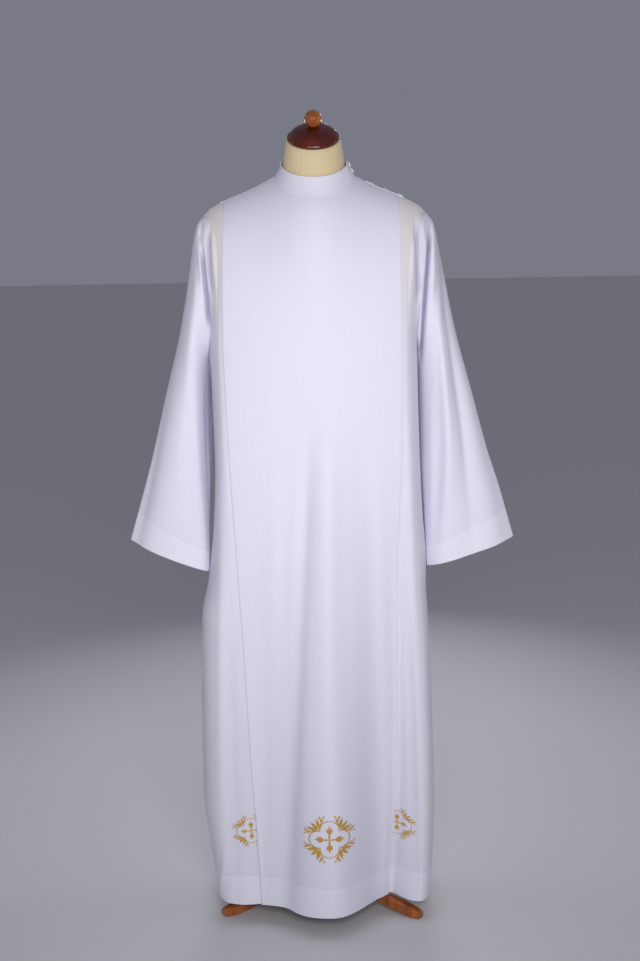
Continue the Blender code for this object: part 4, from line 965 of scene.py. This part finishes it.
def button_loops():
    curve_data = bpy.data.curves.new("alb_button_loops", "CURVE")
    curve_data.dimensions = "3D"
    curve_data.bevel_depth = LOOP_CORD
    curve_data.bevel_resolution = LOOP_ROUNDNESS
    seats = [(back_form, place, PLACKET_BUTTON_V, 1, PLACKET_LIFT + CLOTH) for place in PLACKET_BUTTONS]
    seats += [(collar_form, COLLAR_BUTTON_TURN, height, -1, COLLAR_BUTTON_LIFT)
              for height in COLLAR_BUTTONS]
    for form, a, b, sign, lift in seats:
        normal = normal_on(form, a, b, sign)
        route = loop_points(form(a, b).reshape(3) + normal * (lift + LOOP_LIFT), normal)
        spline = curve_data.splines.new("POLY")
        spline.points.add(len(route) - 1)
        for point, place in zip(spline.points, route):
            point.co = (*(place + TO_MODEL), 1)
        spline.use_smooth = True
    curve_data.materials.append(THREAD_FINISH)
    return place_piece("alb_button_loops", curve_data)


# -------- stitching
STITCH_LENGTH, STITCH_PITCH, STITCH_WIDTH, STITCH_HEIGHT = 0.0024, 0.0033, 0.00055, 0.00030
STITCH_RIDGE = 0.45          # share of a stitch's length that its top ridge takes up


def stitches(line, normals):
    """The corners of one row of stitches along a line on the cloth: a bead for each."""
    gone = run_along(line)
    middles = np.arange(STITCH_PITCH / 2, gone[-1] - STITCH_PITCH / 2, STITCH_PITCH)
    centre, out = read_at(middles, gone, line), unit(read_at(middles, gone, normals))
    ends = [read_at(middles + way * STITCH_LENGTH / 2, gone, line) for way in (-1, 1)]
    reach = ends[1] - ends[0]
    side = np.cross(out, unit(reach)) * STITCH_WIDTH / 2
    along, up = reach / 2, out * STITCH_HEIGHT
    return np.stack([centre - along, centre + side, centre + along, centre - side,
                     centre + up + along * STITCH_RIDGE, centre + up - along * STITCH_RIDGE], axis=1)


BEAD_FACES = [(0, 5, 3), (0, 1, 5), (1, 4, 5), (1, 2, 4), (2, 3, 4), (3, 5, 4), (0, 3, 1), (1, 3, 2)]


def stitching(name, rows):
    """All the stitch rows of one piece of cloth as one mesh."""
    beads = np.concatenate([stitches(line, normals) for line, normals in rows])
    faces = np.arange(len(beads))[:, None, None] * 6 + np.array(BEAD_FACES)
    mesh = new_mesh(name, beads.reshape(-1, 3), faces.reshape(-1, 3).tolist(), [THREAD_FINISH])
    mesh.shade_smooth()
    return place_piece(name, mesh)


# -------- embroidery
# Sizes here are in millimetres on the flat cloth, about the middle of the motif. It is a
# plain cross with three-petalled arms in a quatrefoil ring, with a spray of leaves outside
# the ring in each of its four corners.
SATIN_PITCH, SATIN_LOW, SATIN_ACROSS = 0.75, 0.72, (-1, -0.55, 0, 0.55, 1)
LOBE_AWAY, LOBE_RADIUS, LOBE_POINTS, RING_WIDTH, RING_HEIGHT = 19.0, 17.0, 90, 2.6, 0.55
Leaf = namedtuple("Leaf", "x y heading length width bend")
ARM_LEAVES = rows_of(Leaf, [
    (8.5, 0.0, 0, 18.0, 6.4, 0),
    (10.5, 1.5, 25, 12.0, 4.0, -18),
    (10.5, -1.5, -25, 12.0, 4.0, 18),
    (0.5, 0.0, 0, 12.5, 4.6, 0),
])
# In a frame whose x axis points out along the corner's diagonal; those off it are mirrored.
SPRAY_LEAVES = rows_of(Leaf, [
    (27.0, 0.0, 0, 19.0, 7.0, 0),
    (27.5, 2.4, 34, 15.0, 5.4, -26),
    (33.0, 8.6, 10, 12.0, 4.8, 24),
    (33.6, 12.4, 60, 11.0, 4.6, -34),
    (37.6, 16.6, 10, 9.0, 4.2, 26),
    (38.0, 20.4, 88, 7.0, 3.4, -20),
    (30.5, 5.6, 62, 7.5, 3.0, -50),
])
LEAF_POINTS, LEAF_POWER = 20, 0.8
LEAF_TIP = 0.12              # a leaf's width at its ends, against its widest
LEAF_HEIGHT, LEAF_HEIGHT_BY_WIDTH = 0.25, 0.10
STALK_AWAY, STALK_RISE, STALK_START, STALK_END, STALK_WIDTH = 27.0, 14.0, 4, 31, 2.3
STALK_POINTS, STALK_POWER, STALK_HEIGHT = 40, 1.2, 0.4
SPRAY_DOTS, DOT_HEIGHT = [(43.2, 7.8, 1.3), (45.0, 13.8, 1.2)], 0.5   # x, y and radius of each
BOSS_RADIUS, BOSS_HEIGHT = 2.4, 0.8
ROUND_PLACES, ROUND_BLUNT = np.linspace(-1, 1, 9), 0.02   # across a dot, and how blunt its ends are


def satin(path, widths, height):
    """A domed band of stitches across a path: rows of five points as (x, y, height)."""
    path, widths = np.asarray(path, float), np.asarray(widths, float)
    gone = run_along(path)
    at = np.linspace(0, gone[-1], max(3, int(gone[-1] / SATIN_PITCH) + 1))
    centre = read_at(at, gone, path)
    heading = unit(np.gradient(centre, axis=0))
    side = stacked(-heading[:, 1], heading[:, 0])
    across = np.array(SATIN_ACROSS)
    half = np.interp(at, gone, widths)[:, None, None] / 2
    place = centre[:, None] + side[:, None] * across[None, :, None] * half
    rib = np.where(np.arange(len(at)) % 2, SATIN_LOW, 1.0)[:, None]
    dome = height * np.sqrt(np.maximum(0, 1 - across**2))[None] * rib
    return np.concatenate([place, np.broadcast_to(dome, place.shape[:2])[..., None]], axis=-1)


def leaf_band(leaf):
    t = np.linspace(0, 1, LEAF_POINTS)
    turn = np.radians(leaf.heading + leaf.bend * t)
    steps = stacked(np.cos(turn), np.sin(turn)) * leaf.length / LEAF_POINTS
    path = np.array([leaf.x, leaf.y]) + np.cumsum(steps, axis=0)
    swelling = np.sin(math.pi * t**LEAF_POWER) ** LEAF_POWER
    widths = leaf.width * (LEAF_TIP + (1 - LEAF_TIP) * swelling)
    return satin(path, widths, LEAF_HEIGHT + LEAF_HEIGHT_BY_WIDTH * leaf.width)


def ring_bands():
    """Four round lobes that meet on the diagonals."""
    corner = (LOBE_AWAY + math.sqrt(2 * LOBE_RADIUS**2 - LOBE_AWAY**2)) / 2
    reach = math.degrees(math.atan2(corner, corner - LOBE_AWAY))
    turn = np.radians(np.linspace(-reach, reach, LOBE_POINTS))
    lobe = stacked(LOBE_AWAY + LOBE_RADIUS * np.cos(turn), LOBE_RADIUS * np.sin(turn))
    band = satin(lobe, np.full(LOBE_POINTS, RING_WIDTH), RING_HEIGHT)
    return [turned_band(band, quarter) for quarter in range(4)]


def turned_band(band, quarters):
    """A band turned by quarter turns about the middle of the motif."""
    cosine, sine = math.cos(quarters * math.pi / 2), math.sin(quarters * math.pi / 2)
    x, y = band[..., 0], band[..., 1]
    return stacked(x * cosine - y * sine, x * sine + y * cosine, band[..., 2])


def mirrored(leaf):
    return leaf._replace(y=-leaf.y, heading=-leaf.heading, bend=-leaf.bend)


def motif_bands():
    """Every satin band of the motif."""
    bands = ring_bands()
    spray = [leaf_band(leaf) for leaf in SPRAY_LEAVES]
    spray += [leaf_band(mirrored(leaf)) for leaf in SPRAY_LEAVES if leaf.y]
    stalk_turn = np.radians(np.linspace(STALK_START, STALK_END, STALK_POINTS))
    climbed = (stalk_turn - stalk_turn[0]) / np.ptp(stalk_turn)
    stalk = STALK_AWAY + STALK_RISE * climbed**STALK_POWER
    for way in (-1, 1):
        path = stacked(stalk * np.cos(stalk_turn), way * stalk * np.sin(stalk_turn))
        spray.append(satin(path, np.full(STALK_POINTS, STALK_WIDTH), STALK_HEIGHT))
        for x, y, radius in SPRAY_DOTS:
            path = stacked(x + radius * ROUND_PLACES, np.full(len(ROUND_PLACES), way * y))
            widths = 2 * radius * np.sqrt(np.maximum(ROUND_BLUNT, 1 - ROUND_PLACES**2))
            spray.append(satin(path, widths, DOT_HEIGHT))
    arm = [leaf_band(leaf) for leaf in ARM_LEAVES]
    for quarter in range(4):
        bands += [turned_band(band, quarter) for band in arm]
        bands += [turned_band(band, quarter + 0.5) for band in spray]
    boss = stacked(BOSS_RADIUS * ROUND_PLACES, 0 * ROUND_PLACES)
    widths = 2 * BOSS_RADIUS * np.sqrt(1 + ROUND_BLUNT - ROUND_PLACES**2)
    bands.append(satin(boss, widths, BOSS_HEIGHT))
    return bands


# How much each direction counts in the length across a row that a motif is laid along. Depth
# counts only in part, so that a fold beside a pleat doesn't squeeze the motif seen from the front.
LAID_FLAT = np.array([1, 0.25, 1])


def lay_on(cloth, normals, x, z):
    """A way to lay motifs on the cloth: from metres across and up, about a place on it given
    by its x and z, to points and normals there."""
    level_rows = np.arange(len(ROW_Z))
    middle = cloth[int(np.argmin(np.abs(ROW_Z[:, 0] - z))), :, 0]
    way = np.sign(middle[-1] - middle[0])

    def along_row(row, places):
        line = cloth[row]
        gone = run_along(line * LAID_FLAT)
        at = np.interp(x * way, line[:, 0] * way, gone) + places * way
        return [read_at(at, gone, grid[row]) for grid in (cloth, normals)]

    def lay(across, up):
        row = np.interp(-(z + up), -ROW_Z[:, 0], level_rows)
        first = np.floor(row).astype(int)
        placed, turned = np.zeros((len(row), 3)), np.zeros((len(row), 3))
        for number in np.unique(first):
            chosen = first == number
            share = (row[chosen] - number)[:, None]
            upper, lower = along_row(number, across[chosen]), along_row(number + 1, across[chosen])
            placed[chosen] = upper[0] * (1 - share) + lower[0] * share
            turned[chosen] = upper[1] * (1 - share) + lower[1] * share
        return placed, unit(turned)

    return lay


# An emblem: its middle on the cloth, its width and height against the motif's, and its tilt
# in degrees.
Emblem = namedtuple("Emblem", "x z wide high tilt")
EMBLEM_SINK = 0.00015
UNDER_PLEAT = 0.004          # how far under the pleat beside it the stitches go on


def drop_loose(shape):
    loose = [corner for corner in shape.verts if not corner.link_faces]
    bmesh.ops.delete(shape, geom=loose, context="VERTS")


def emblem(name, emblem_place, cloth, normals, hand=0):
    """One embroidered motif; on a side front only what shows past the pleat is stitched."""
    lay = lay_on(cloth, normals, emblem_place.x, emblem_place.z)
    tilt = math.radians(emblem_place.tilt)
    size = np.array([emblem_place.wide, emblem_place.high, emblem_place.high]) / 1000   # in metres
    coordinates, faces, count = [], [], 0
    for band in motif_bands():
        rows, columns = band.shape[:2]
        x, y, height = (band.reshape(-1, 3) * size).T
        across = x * math.cos(tilt) + y * math.sin(tilt)
        up = y * math.cos(tilt) - x * math.sin(tilt)
        placed, out = lay(across, up)
        placed = placed + out * (height - EMBLEM_SINK)[:, None]
        face = quads(rows, columns, columns - 1)
        if hand:
            hidden_edge = PANEL[side_word(hand)](placed[:, 2]) - UNDER_PLEAT
            kept = (np.abs(placed[:, 0]) > hidden_edge).reshape(rows, columns).all(axis=1)
            face = face[kept[face[:, 0] // columns] & kept[face[:, 3] // columns]]
        coordinates.append(placed)
        faces.append(face + count)
        count += rows * columns
    mesh = new_mesh(name, np.concatenate(coordinates), np.concatenate(faces).tolist(), [GOLD_FINISH])
    edited(mesh, drop_loose)
    mesh.shade_smooth()
    return place_piece(name, mesh)


# -------- materials
THREAD_PITCH = 0.0007        # across two threads of the alb's cloth
THREAD_HEIGHT = 0.00003      # how far its threads and the form's knitted ribs stand out
SLUB_SCALE, SLUB_STRETCH = 260, (1, 0.06, 1)
UNEVEN_SCALE, UNEVEN_STRETCH, UNEVEN_HEIGHT = 9, (1, 1, 0.35), 0.0012
KNIT_PITCH = (0.0016, 0.0012)
PORE_HEIGHT = 0.00008
# the colour of the painted shade in deep creases and where a sleeve hangs by the body
PAINTED_FOLD_SHADE_COLOUR = (0.31, 0.30, 0.44, 1)
# Heights over which the form's cream cover comes to warm the cloth over it, and over which it
# does so past the place where the cloth leaves the form.
WARMING_Z, ON_TOP_Z = (1.16, 1.42), (1.430, 1.462)


def new_material(name, colour, roughness, inputs=None):
    made = bpy.data.materials.new(name)
    made.use_nodes = True
    shader = made.node_tree.nodes["Principled BSDF"]
    values = {"Base Color": (*colour, 1), "Roughness": roughness, **(inputs or {})}
    for word, value in values.items():
        shader.inputs[word].default_value = value
    return made, made.node_tree, shader


def cover(tree, shader, colour, normal=None):
    tree.links.new(colour, shader.inputs["Base Color"])
    if normal is not None:
        tree.links.new(normal, shader.inputs["Normal"])


def node(tree, kind, inputs=None, **settings):
    """A shader node with its settings, its inputs either values or other nodes' outputs."""
    made = tree.nodes.new("ShaderNode" + kind)
    for word, value in settings.items():
        setattr(made, word, value)
    for key, value in (inputs or {}).items():
        if isinstance(value, bpy.types.NodeSocket):
            tree.links.new(value, made.inputs[key])
        else:
            made.inputs[key].default_value = value
    return made


def noise(tree, place, scale, detail=3.0, stretch=(1, 1, 1)):
    moved = node(tree, "Mapping", {"Vector": place, "Scale": stretch})
    return node(tree, "TexNoise", {"Vector": moved.outputs["Vector"], "Scale": scale,
                                   "Detail": detail}).outputs["Fac"]


def colours(tree, share, dark, light, low=0.3, high=0.7):
    """A colour between two, by a share that is stretched from low to high."""
    ramp = node(tree, "ValToRGB", {"Fac": share})
    ramp.color_ramp.elements[0].position, ramp.color_ramp.elements[1].position = low, high
    ramp.color_ramp.elements[0].color = (*dark, 1)
    ramp.color_ramp.elements[1].color = (*light, 1)
    return ramp.outputs["Color"]


def bump(tree, height, distance, strength=1.0, under=None):
    inputs = {"Height": height, "Distance": distance, "Strength": strength}
    if under is not None:
        inputs["Normal"] = under
    return node(tree, "Bump", inputs).outputs["Normal"]


def object_place(tree):
    return node(tree, "TexCoord").outputs["Object"]


def parted(tree, place):
    return node(tree, "SeparateXYZ", {0: place}).outputs


def reckoned(tree, operation, *values):
    return node(tree, "Math", dict(enumerate(values)), operation=operation).outputs[0]


def risen(tree, value, start, end):
    """0 before start, 1 after end and smooth between."""
    return node(tree, "MapRange", {"Value": value, 1: start, 2: end},
                interpolation_type="SMOOTHSTEP").outputs["Result"]


def blended(tree, share, first, second):
    return node(tree, "Mix", {0: share, 6: first, 7: second}, data_type="RGBA").outputs[2]


def crossed_waves(tree, first, second, first_pitch, second_pitch):
    """The weave or knit of two sets of threads."""
    waves = [reckoned(tree, "SINE", reckoned(tree, "MULTIPLY", value, 2 * math.pi / pitch))
             for value, pitch in ((first, first_pitch), (second, second_pitch))]
    return reckoned(tree, "MULTIPLY", *waves)


def alb_finish(name, dark, light, warm=None, warm_edges=None):
    """Matt plain-weave cloth: threads and slubs in its own metres, soft hand-sized unevenness.
    Where it lies in one layer over the form's shoulders, the cream cover warms its white, up
    to the place across where it leaves the form. Deep creases, and sleeves where they hang by
    the body, get a painted shade by their fold_shade."""
    made, tree, shader = new_material(name, light, 0.72, {
        "Sheen Weight": 0.12, "Sheen Roughness": 0.40, "Sheen Tint": (0.90, 0.92, 1.0, 1)})
    flat = node(tree, "UVMap", uv_map="length").outputs["UV"]
    parts = parted(tree, flat)
    threads = crossed_waves(tree, parts["X"], parts["Y"], THREAD_PITCH, THREAD_PITCH)
    slubs = noise(tree, flat, SLUB_SCALE, 2.0, SLUB_STRETCH)
    round_about = object_place(tree)
    uneven = noise(tree, round_about, UNEVEN_SCALE, 2.0, UNEVEN_STRETCH)
    woven = bump(tree, threads, THREAD_HEIGHT, 0.6, bump(tree, uneven, UNEVEN_HEIGHT, 0.5))
    tint = colours(tree, slubs, dark, light)
    if warm:
        place = parted(tree, round_about)
        lying = reckoned(tree, "MAXIMUM", risen(tree, place["X"], *warm_edges),
                         risen(tree, place["Z"], *ON_TOP_Z))
        over_form = reckoned(tree, "MULTIPLY", risen(tree, place["Z"], *WARMING_Z), lying)
        tint = blended(tree, over_form, tint, (*warm, 1))
    # painted shade: the cloth's colour is blended towards a dark violet by fold_shade
    folds = node(tree, "Attribute", attribute_name="fold_shade").outputs["Fac"]
    cover(tree, shader, blended(tree, folds, tint, PAINTED_FOLD_SHADE_COLOUR),
          bump(tree, slubs, THREAD_HEIGHT, 0.4, woven))
    return made


def speckled_finish(name, colour, roughness, scale, detail, dark, light, raised=0, inputs=None):
    """A fine noise in the colour and, where raised is given, in the surface."""
    made, tree, shader = new_material(name, colour, roughness, inputs)
    specks = noise(tree, object_place(tree), scale, detail)
    cover(tree, shader, colours(tree, specks, dark, light),
          bump(tree, specks, raised) if raised else None)
    return made


def jersey_finish():
    """The dress form's cotton cover: fine knitted ribs, a little uneven and yellowed."""
    made, tree, shader = new_material("form_jersey", (0.78, 0.63, 0.36), 0.85, {"Sheen Weight": 0.25})
    place = object_place(tree)
    parts = parted(tree, place)
    knit = crossed_waves(tree, parts["X"], parts["Z"], *KNIT_PITCH)
    uneven = noise(tree, place, 14, 3.0)
    cover(tree, shader, colours(tree, uneven, (0.74, 0.58, 0.31), (0.80, 0.66, 0.40)),
          bump(tree, knit, THREAD_HEIGHT, 0.5))
    return made


def wood_finish(name, dark, light, coat, grain=(26, 26, 3)):
    """Stained wood under lacquer: long grain lines and pores."""
    made, tree, shader = new_material(name, light, 0.38, {"Coat Weight": coat, "Coat Roughness": 0.10})
    place = object_place(tree)
    lines = noise(tree, place, 2.2, 5.0, grain)
    pores = noise(tree, place, 16, 2.0, grain)
    cover(tree, shader, colours(tree, lines, dark, light, 0.35, 0.68),
          bump(tree, pores, PORE_HEIGHT, 0.5))
    return made


ALB_FINISHES = [
    alb_finish("alb_cloth", (0.815, 0.800, 0.920), (0.835, 0.820, 0.940)),
    alb_finish("alb_hem", (0.855, 0.845, 0.955), (0.875, 0.865, 0.970)),
]
# how far across the cloth leaves the form's shoulder, and over how much its warmth fades there
FORM_EDGE, FORM_EDGE_FADE = {-1: 0.2130, 1: 0.2010}, 0.006
# The side fronts' cloth is painted a little darker than the panel's, a painted shade for where they turn
# from the light; over the form's shoulders the cream cover showing through warms it.
SIDE_FINISHES = {}
for hand in (-1, 1):
    leaves_form = [hand * edge + GARMENT_X for edge in (FORM_EDGE[hand], FORM_EDGE[hand] - FORM_EDGE_FADE)]
    shaded_side_finish = alb_finish("alb_side_cloth_shaded_" + side_word(hand), (0.800, 0.787, 0.890),
                             (0.820, 0.807, 0.910), (0.815, 0.770, 0.765), leaves_form)
    SIDE_FINISHES[hand] = [shaded_side_finish, ALB_FINISHES[1]]
THREAD_FINISH = speckled_finish("alb_thread", (0.86, 0.86, 0.91), 0.5, 2600, 1.0,
                                (0.78, 0.78, 0.84), (0.90, 0.90, 0.94), 0.00005)
# rayon embroidery thread: bright along its fibres, darker between the stitches
GOLD_FINISH = speckled_finish("gold_thread", (0.50, 0.28, 0.04), 0.36, 1400, 2.0, (0.48, 0.25, 0.025),
                              (0.80, 0.50, 0.09), 0.00008, {"Metallic": 0.15, "Sheen Weight": 0.2})
ORANGE_WOOD = wood_finish("orange_wood", (0.25, 0.055, 0.006), (0.50, 0.145, 0.018), 0.45)
DARK_WOOD = wood_finish("dark_wood", (0.055, 0.004, 0.001), (0.140, 0.010, 0.002), 0.30, (9, 9, 26))
JERSEY = jersey_finish()
BUTTON_RESIN = speckled_finish("button_resin", (0.84, 0.84, 0.83), 0.25, 300, 2.0, (0.78, 0.78, 0.77),
                               (0.88, 0.88, 0.88), inputs={"Coat Weight": 0.5})


# -------- solids that keep their shape
EDGE_SEGMENTS, EDGE_ANGLE, LEG_EDGE = 3, math.radians(35), 0.0022


def refinish(names, finish, edge=0.0):
    """Give CAD nodes their finish, and a softened edge where one is given."""
    for name in names:
        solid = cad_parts[name]
        for place in solid.material_slots:
            place.material = finish
        if edge:
            softened = solid.modifiers.new("softened_edges", "BEVEL")
            softened.width = edge
            softened.segments = EDGE_SEGMENTS
            softened.limit_method = "ANGLE"
            softened.angle_limit = EDGE_ANGLE
            softened.harden_normals = True


refinish(["form_torso", "form_neck"], JERSEY)
refinish(["neck_cap"], DARK_WOOD)
refinish(["cap_knob", "stand_pole", "stand_hub"], ORANGE_WOOD)
refinish([f"stand_leg_{number}" for number in range(3)], ORANGE_WOOD, LEG_EDGE)
refinish([f"button_{number}" for number in range(1, 6)], BUTTON_RESIN)

# -------- the alb
SIDE_CLOTH = {hand: side_cloth(hand) for hand in (-1, 1)}
BACK_CLOTH = back_cloth()
SLEEVE_CLOTH = {hand: sleeve_cloth(hand) for hand in (-1, 1)}
EMBLEMS = {
    0: Emblem(0.0092, 0.2035, 1.16, 1.02, 0),
    -1: Emblem(-0.1520, 0.1985, 0.84, 0.72, -4),
    1: Emblem(0.1510, 0.1945, 0.84, 0.70, 2),
}
HEM_STITCH_ROW, CUFF_STITCH_ROW = HEM_ROW + 1, CUFF_ROW + 1
TOP_STITCH_HALF, TOP_STITCH_BELOW = 0.052, (0.0022, 0.0062)   # how far they go, and below the seam


def top_stitching():
    """The two rows under the collar seam, which fade out round the neck."""
    middle = np.abs(PANEL_S) * by_side(PANEL_S, PLEAT_TOP) < TOP_STITCH_HALF
    cloth, normals = PANEL_CLOTH[:, middle], PANEL_NORMALS[:, middle]
    gone = length_along(cloth, 0)
    return [(np.array([read_at(below, gone[:, c], cloth[:, c]) for c in range(cloth.shape[1])]), normals[1])
            for below in TOP_STITCH_BELOW]


def row_of(cloth, row, shown=slice(None)):
    """One row of a piece's points and normals, to be stitched."""
    return tuple(grid[row, shown] for grid in cloth)


# The flat size of each cut piece: its widest section with the folds opened, its longest edge and
# its area.
Cut = namedtuple("Cut", "width length area")


def dress():
    """Every piece of the alb, with its stitching and embroidery."""
    panel = front_panel()
    hem_row = row_of((PANEL_CLOTH, PANEL_NORMALS), HEM_STITCH_ROW, np.abs(PANEL_S) <= 1)
    panel_stitches = stitching("alb_front_panel_stitches", [hem_row] + top_stitching())
    panel_emblem = emblem("alb_emblem_front", EMBLEMS[0], PANEL_CLOTH, PANEL_NORMALS)
    for hand in (-1, 1):
        word = side_word(hand)
        cloth, normals = SIDE_CLOTH[hand]
        side = hung_piece("side_front_" + word, SIDE_CLOTH[hand], SIDE_FINISHES[hand],
                          fold_shade(hand, cloth))
        shown = np.abs(cloth[HEM_STITCH_ROW, :, 0]) > PANEL[word](HEM_TOP) - UNDER_PLEAT
        side_stitches = stitching(f"alb_side_front_{word}_stitches",
                                  [row_of(SIDE_CLOTH[hand], HEM_STITCH_ROW, shown)])
        side_emblem = emblem(f"alb_emblem_{word}", EMBLEMS[hand], cloth, normals, hand)
        arm = sleeve(hand)
        cuff = [np.concatenate([grid, grid[:, :1]], axis=1) for grid in SLEEVE_CLOTH[hand]]
        arm_stitches = stitching(f"alb_sleeve_{word}_stitches", [row_of(cuff, CUFF_STITCH_ROW)])
    rear = hung_piece("back", BACK_CLOTH, ALB_FINISHES)
    rear_stitches = stitching("alb_back_stitches", [row_of(BACK_CLOTH, HEM_STITCH_ROW)])
    placket = shoulder_placket()
    neckband = collar()
    band = collar_form(COLLAR_TURNS, COLLAR_STITCH_HEIGHTS)
    neckband_stitches = stitching("alb_collar_stitches", [row_of((band, collar_normals(band)), 1)])
    button_loops()


dress()

# -------- floor, light and camera
def stage():
    bpy.ops.mesh.primitive_plane_add(size=60, location=(0, 0, 0))
    floor = bpy.context.object
    floor.name = "floor"
    made, _, _ = new_material("floor_paint", (0.74, 0.74, 0.74), 0.9)
    floor.data.materials.append(made)
    world = bpy.data.worlds.new("studio")
    world.use_nodes = True
    world.node_tree.nodes["Background"].inputs["Color"].default_value = (0.190, 0.195, 0.235, 1)
    world.node_tree.nodes["Background"].inputs["Strength"].default_value = 1.0
    bpy.context.scene.world = world


LAMPS = table("name place size aim_z spread power colour", [
    ("key", (0.12, -2.9, 1.38), 0.9, 1.07, 71, 9.5, (1.0, 0.99, 0.985)),
    ("right", (3.0, 0.9, 1.6), 1.6, 1.0, 120, 3.4, (0.94, 0.95, 1.0)),
    ("left", (-3.0, 0.9, 1.6), 1.6, 1.0, 120, 3.4, (0.94, 0.95, 1.0)),
    ("rear", (0.1, 3.3, 1.15), 1.6, 0.95, 90, 13.0, (0.97, 0.98, 1.0)),
])


def lamps():
    for lamp in LAMPS:
        light = bpy.data.lights.new(lamp.name, "AREA")
        light.shape = "DISK"
        light.size = lamp.size
        light.energy = lamp.power
        light.color = lamp.colour
        light.spread = math.radians(lamp.spread)
        made = bpy.data.objects.new(lamp.name, light)
        made.location = lamp.place
        made.visible_camera = False
        aim = Vector((0, 0, lamp.aim_z)) - Vector(lamp.place)
        made.rotation_euler = aim.to_track_quat("-Z", "Y").to_euler()
        bpy.context.scene.collection.objects.link(made)


# where the photo was taken from and with what, as worked out from it
CAMERA_PLACE = (0.002 + GARMENT_X, -4.0 + GARMENT_Y, 1.5)
CAMERA_PITCH, CAMERA_ROLL = math.radians(8.37), math.radians(-0.96)
FOCAL_PIXELS, PHOTO_HEIGHT, SENSOR = 1950, 961, 24


def camera():
    data = bpy.data.cameras.new("camera")
    data.sensor_fit = "VERTICAL"
    data.sensor_height = SENSOR
    data.lens = SENSOR * FOCAL_PIXELS / PHOTO_HEIGHT
    made = bpy.data.objects.new("camera", data)
    turn = Matrix.Rotation(math.pi / 2 - CAMERA_PITCH, 4, "X") @ Matrix.Rotation(CAMERA_ROLL, 4, "Z")
    made.matrix_world = Matrix.Translation(CAMERA_PLACE) @ turn
    bpy.context.scene.collection.objects.link(made)
    bpy.context.scene.camera = made


stage()
lamps()
camera()
bpy.context.scene.view_settings.view_transform = "Standard"

bpy.context.view_layer.update()
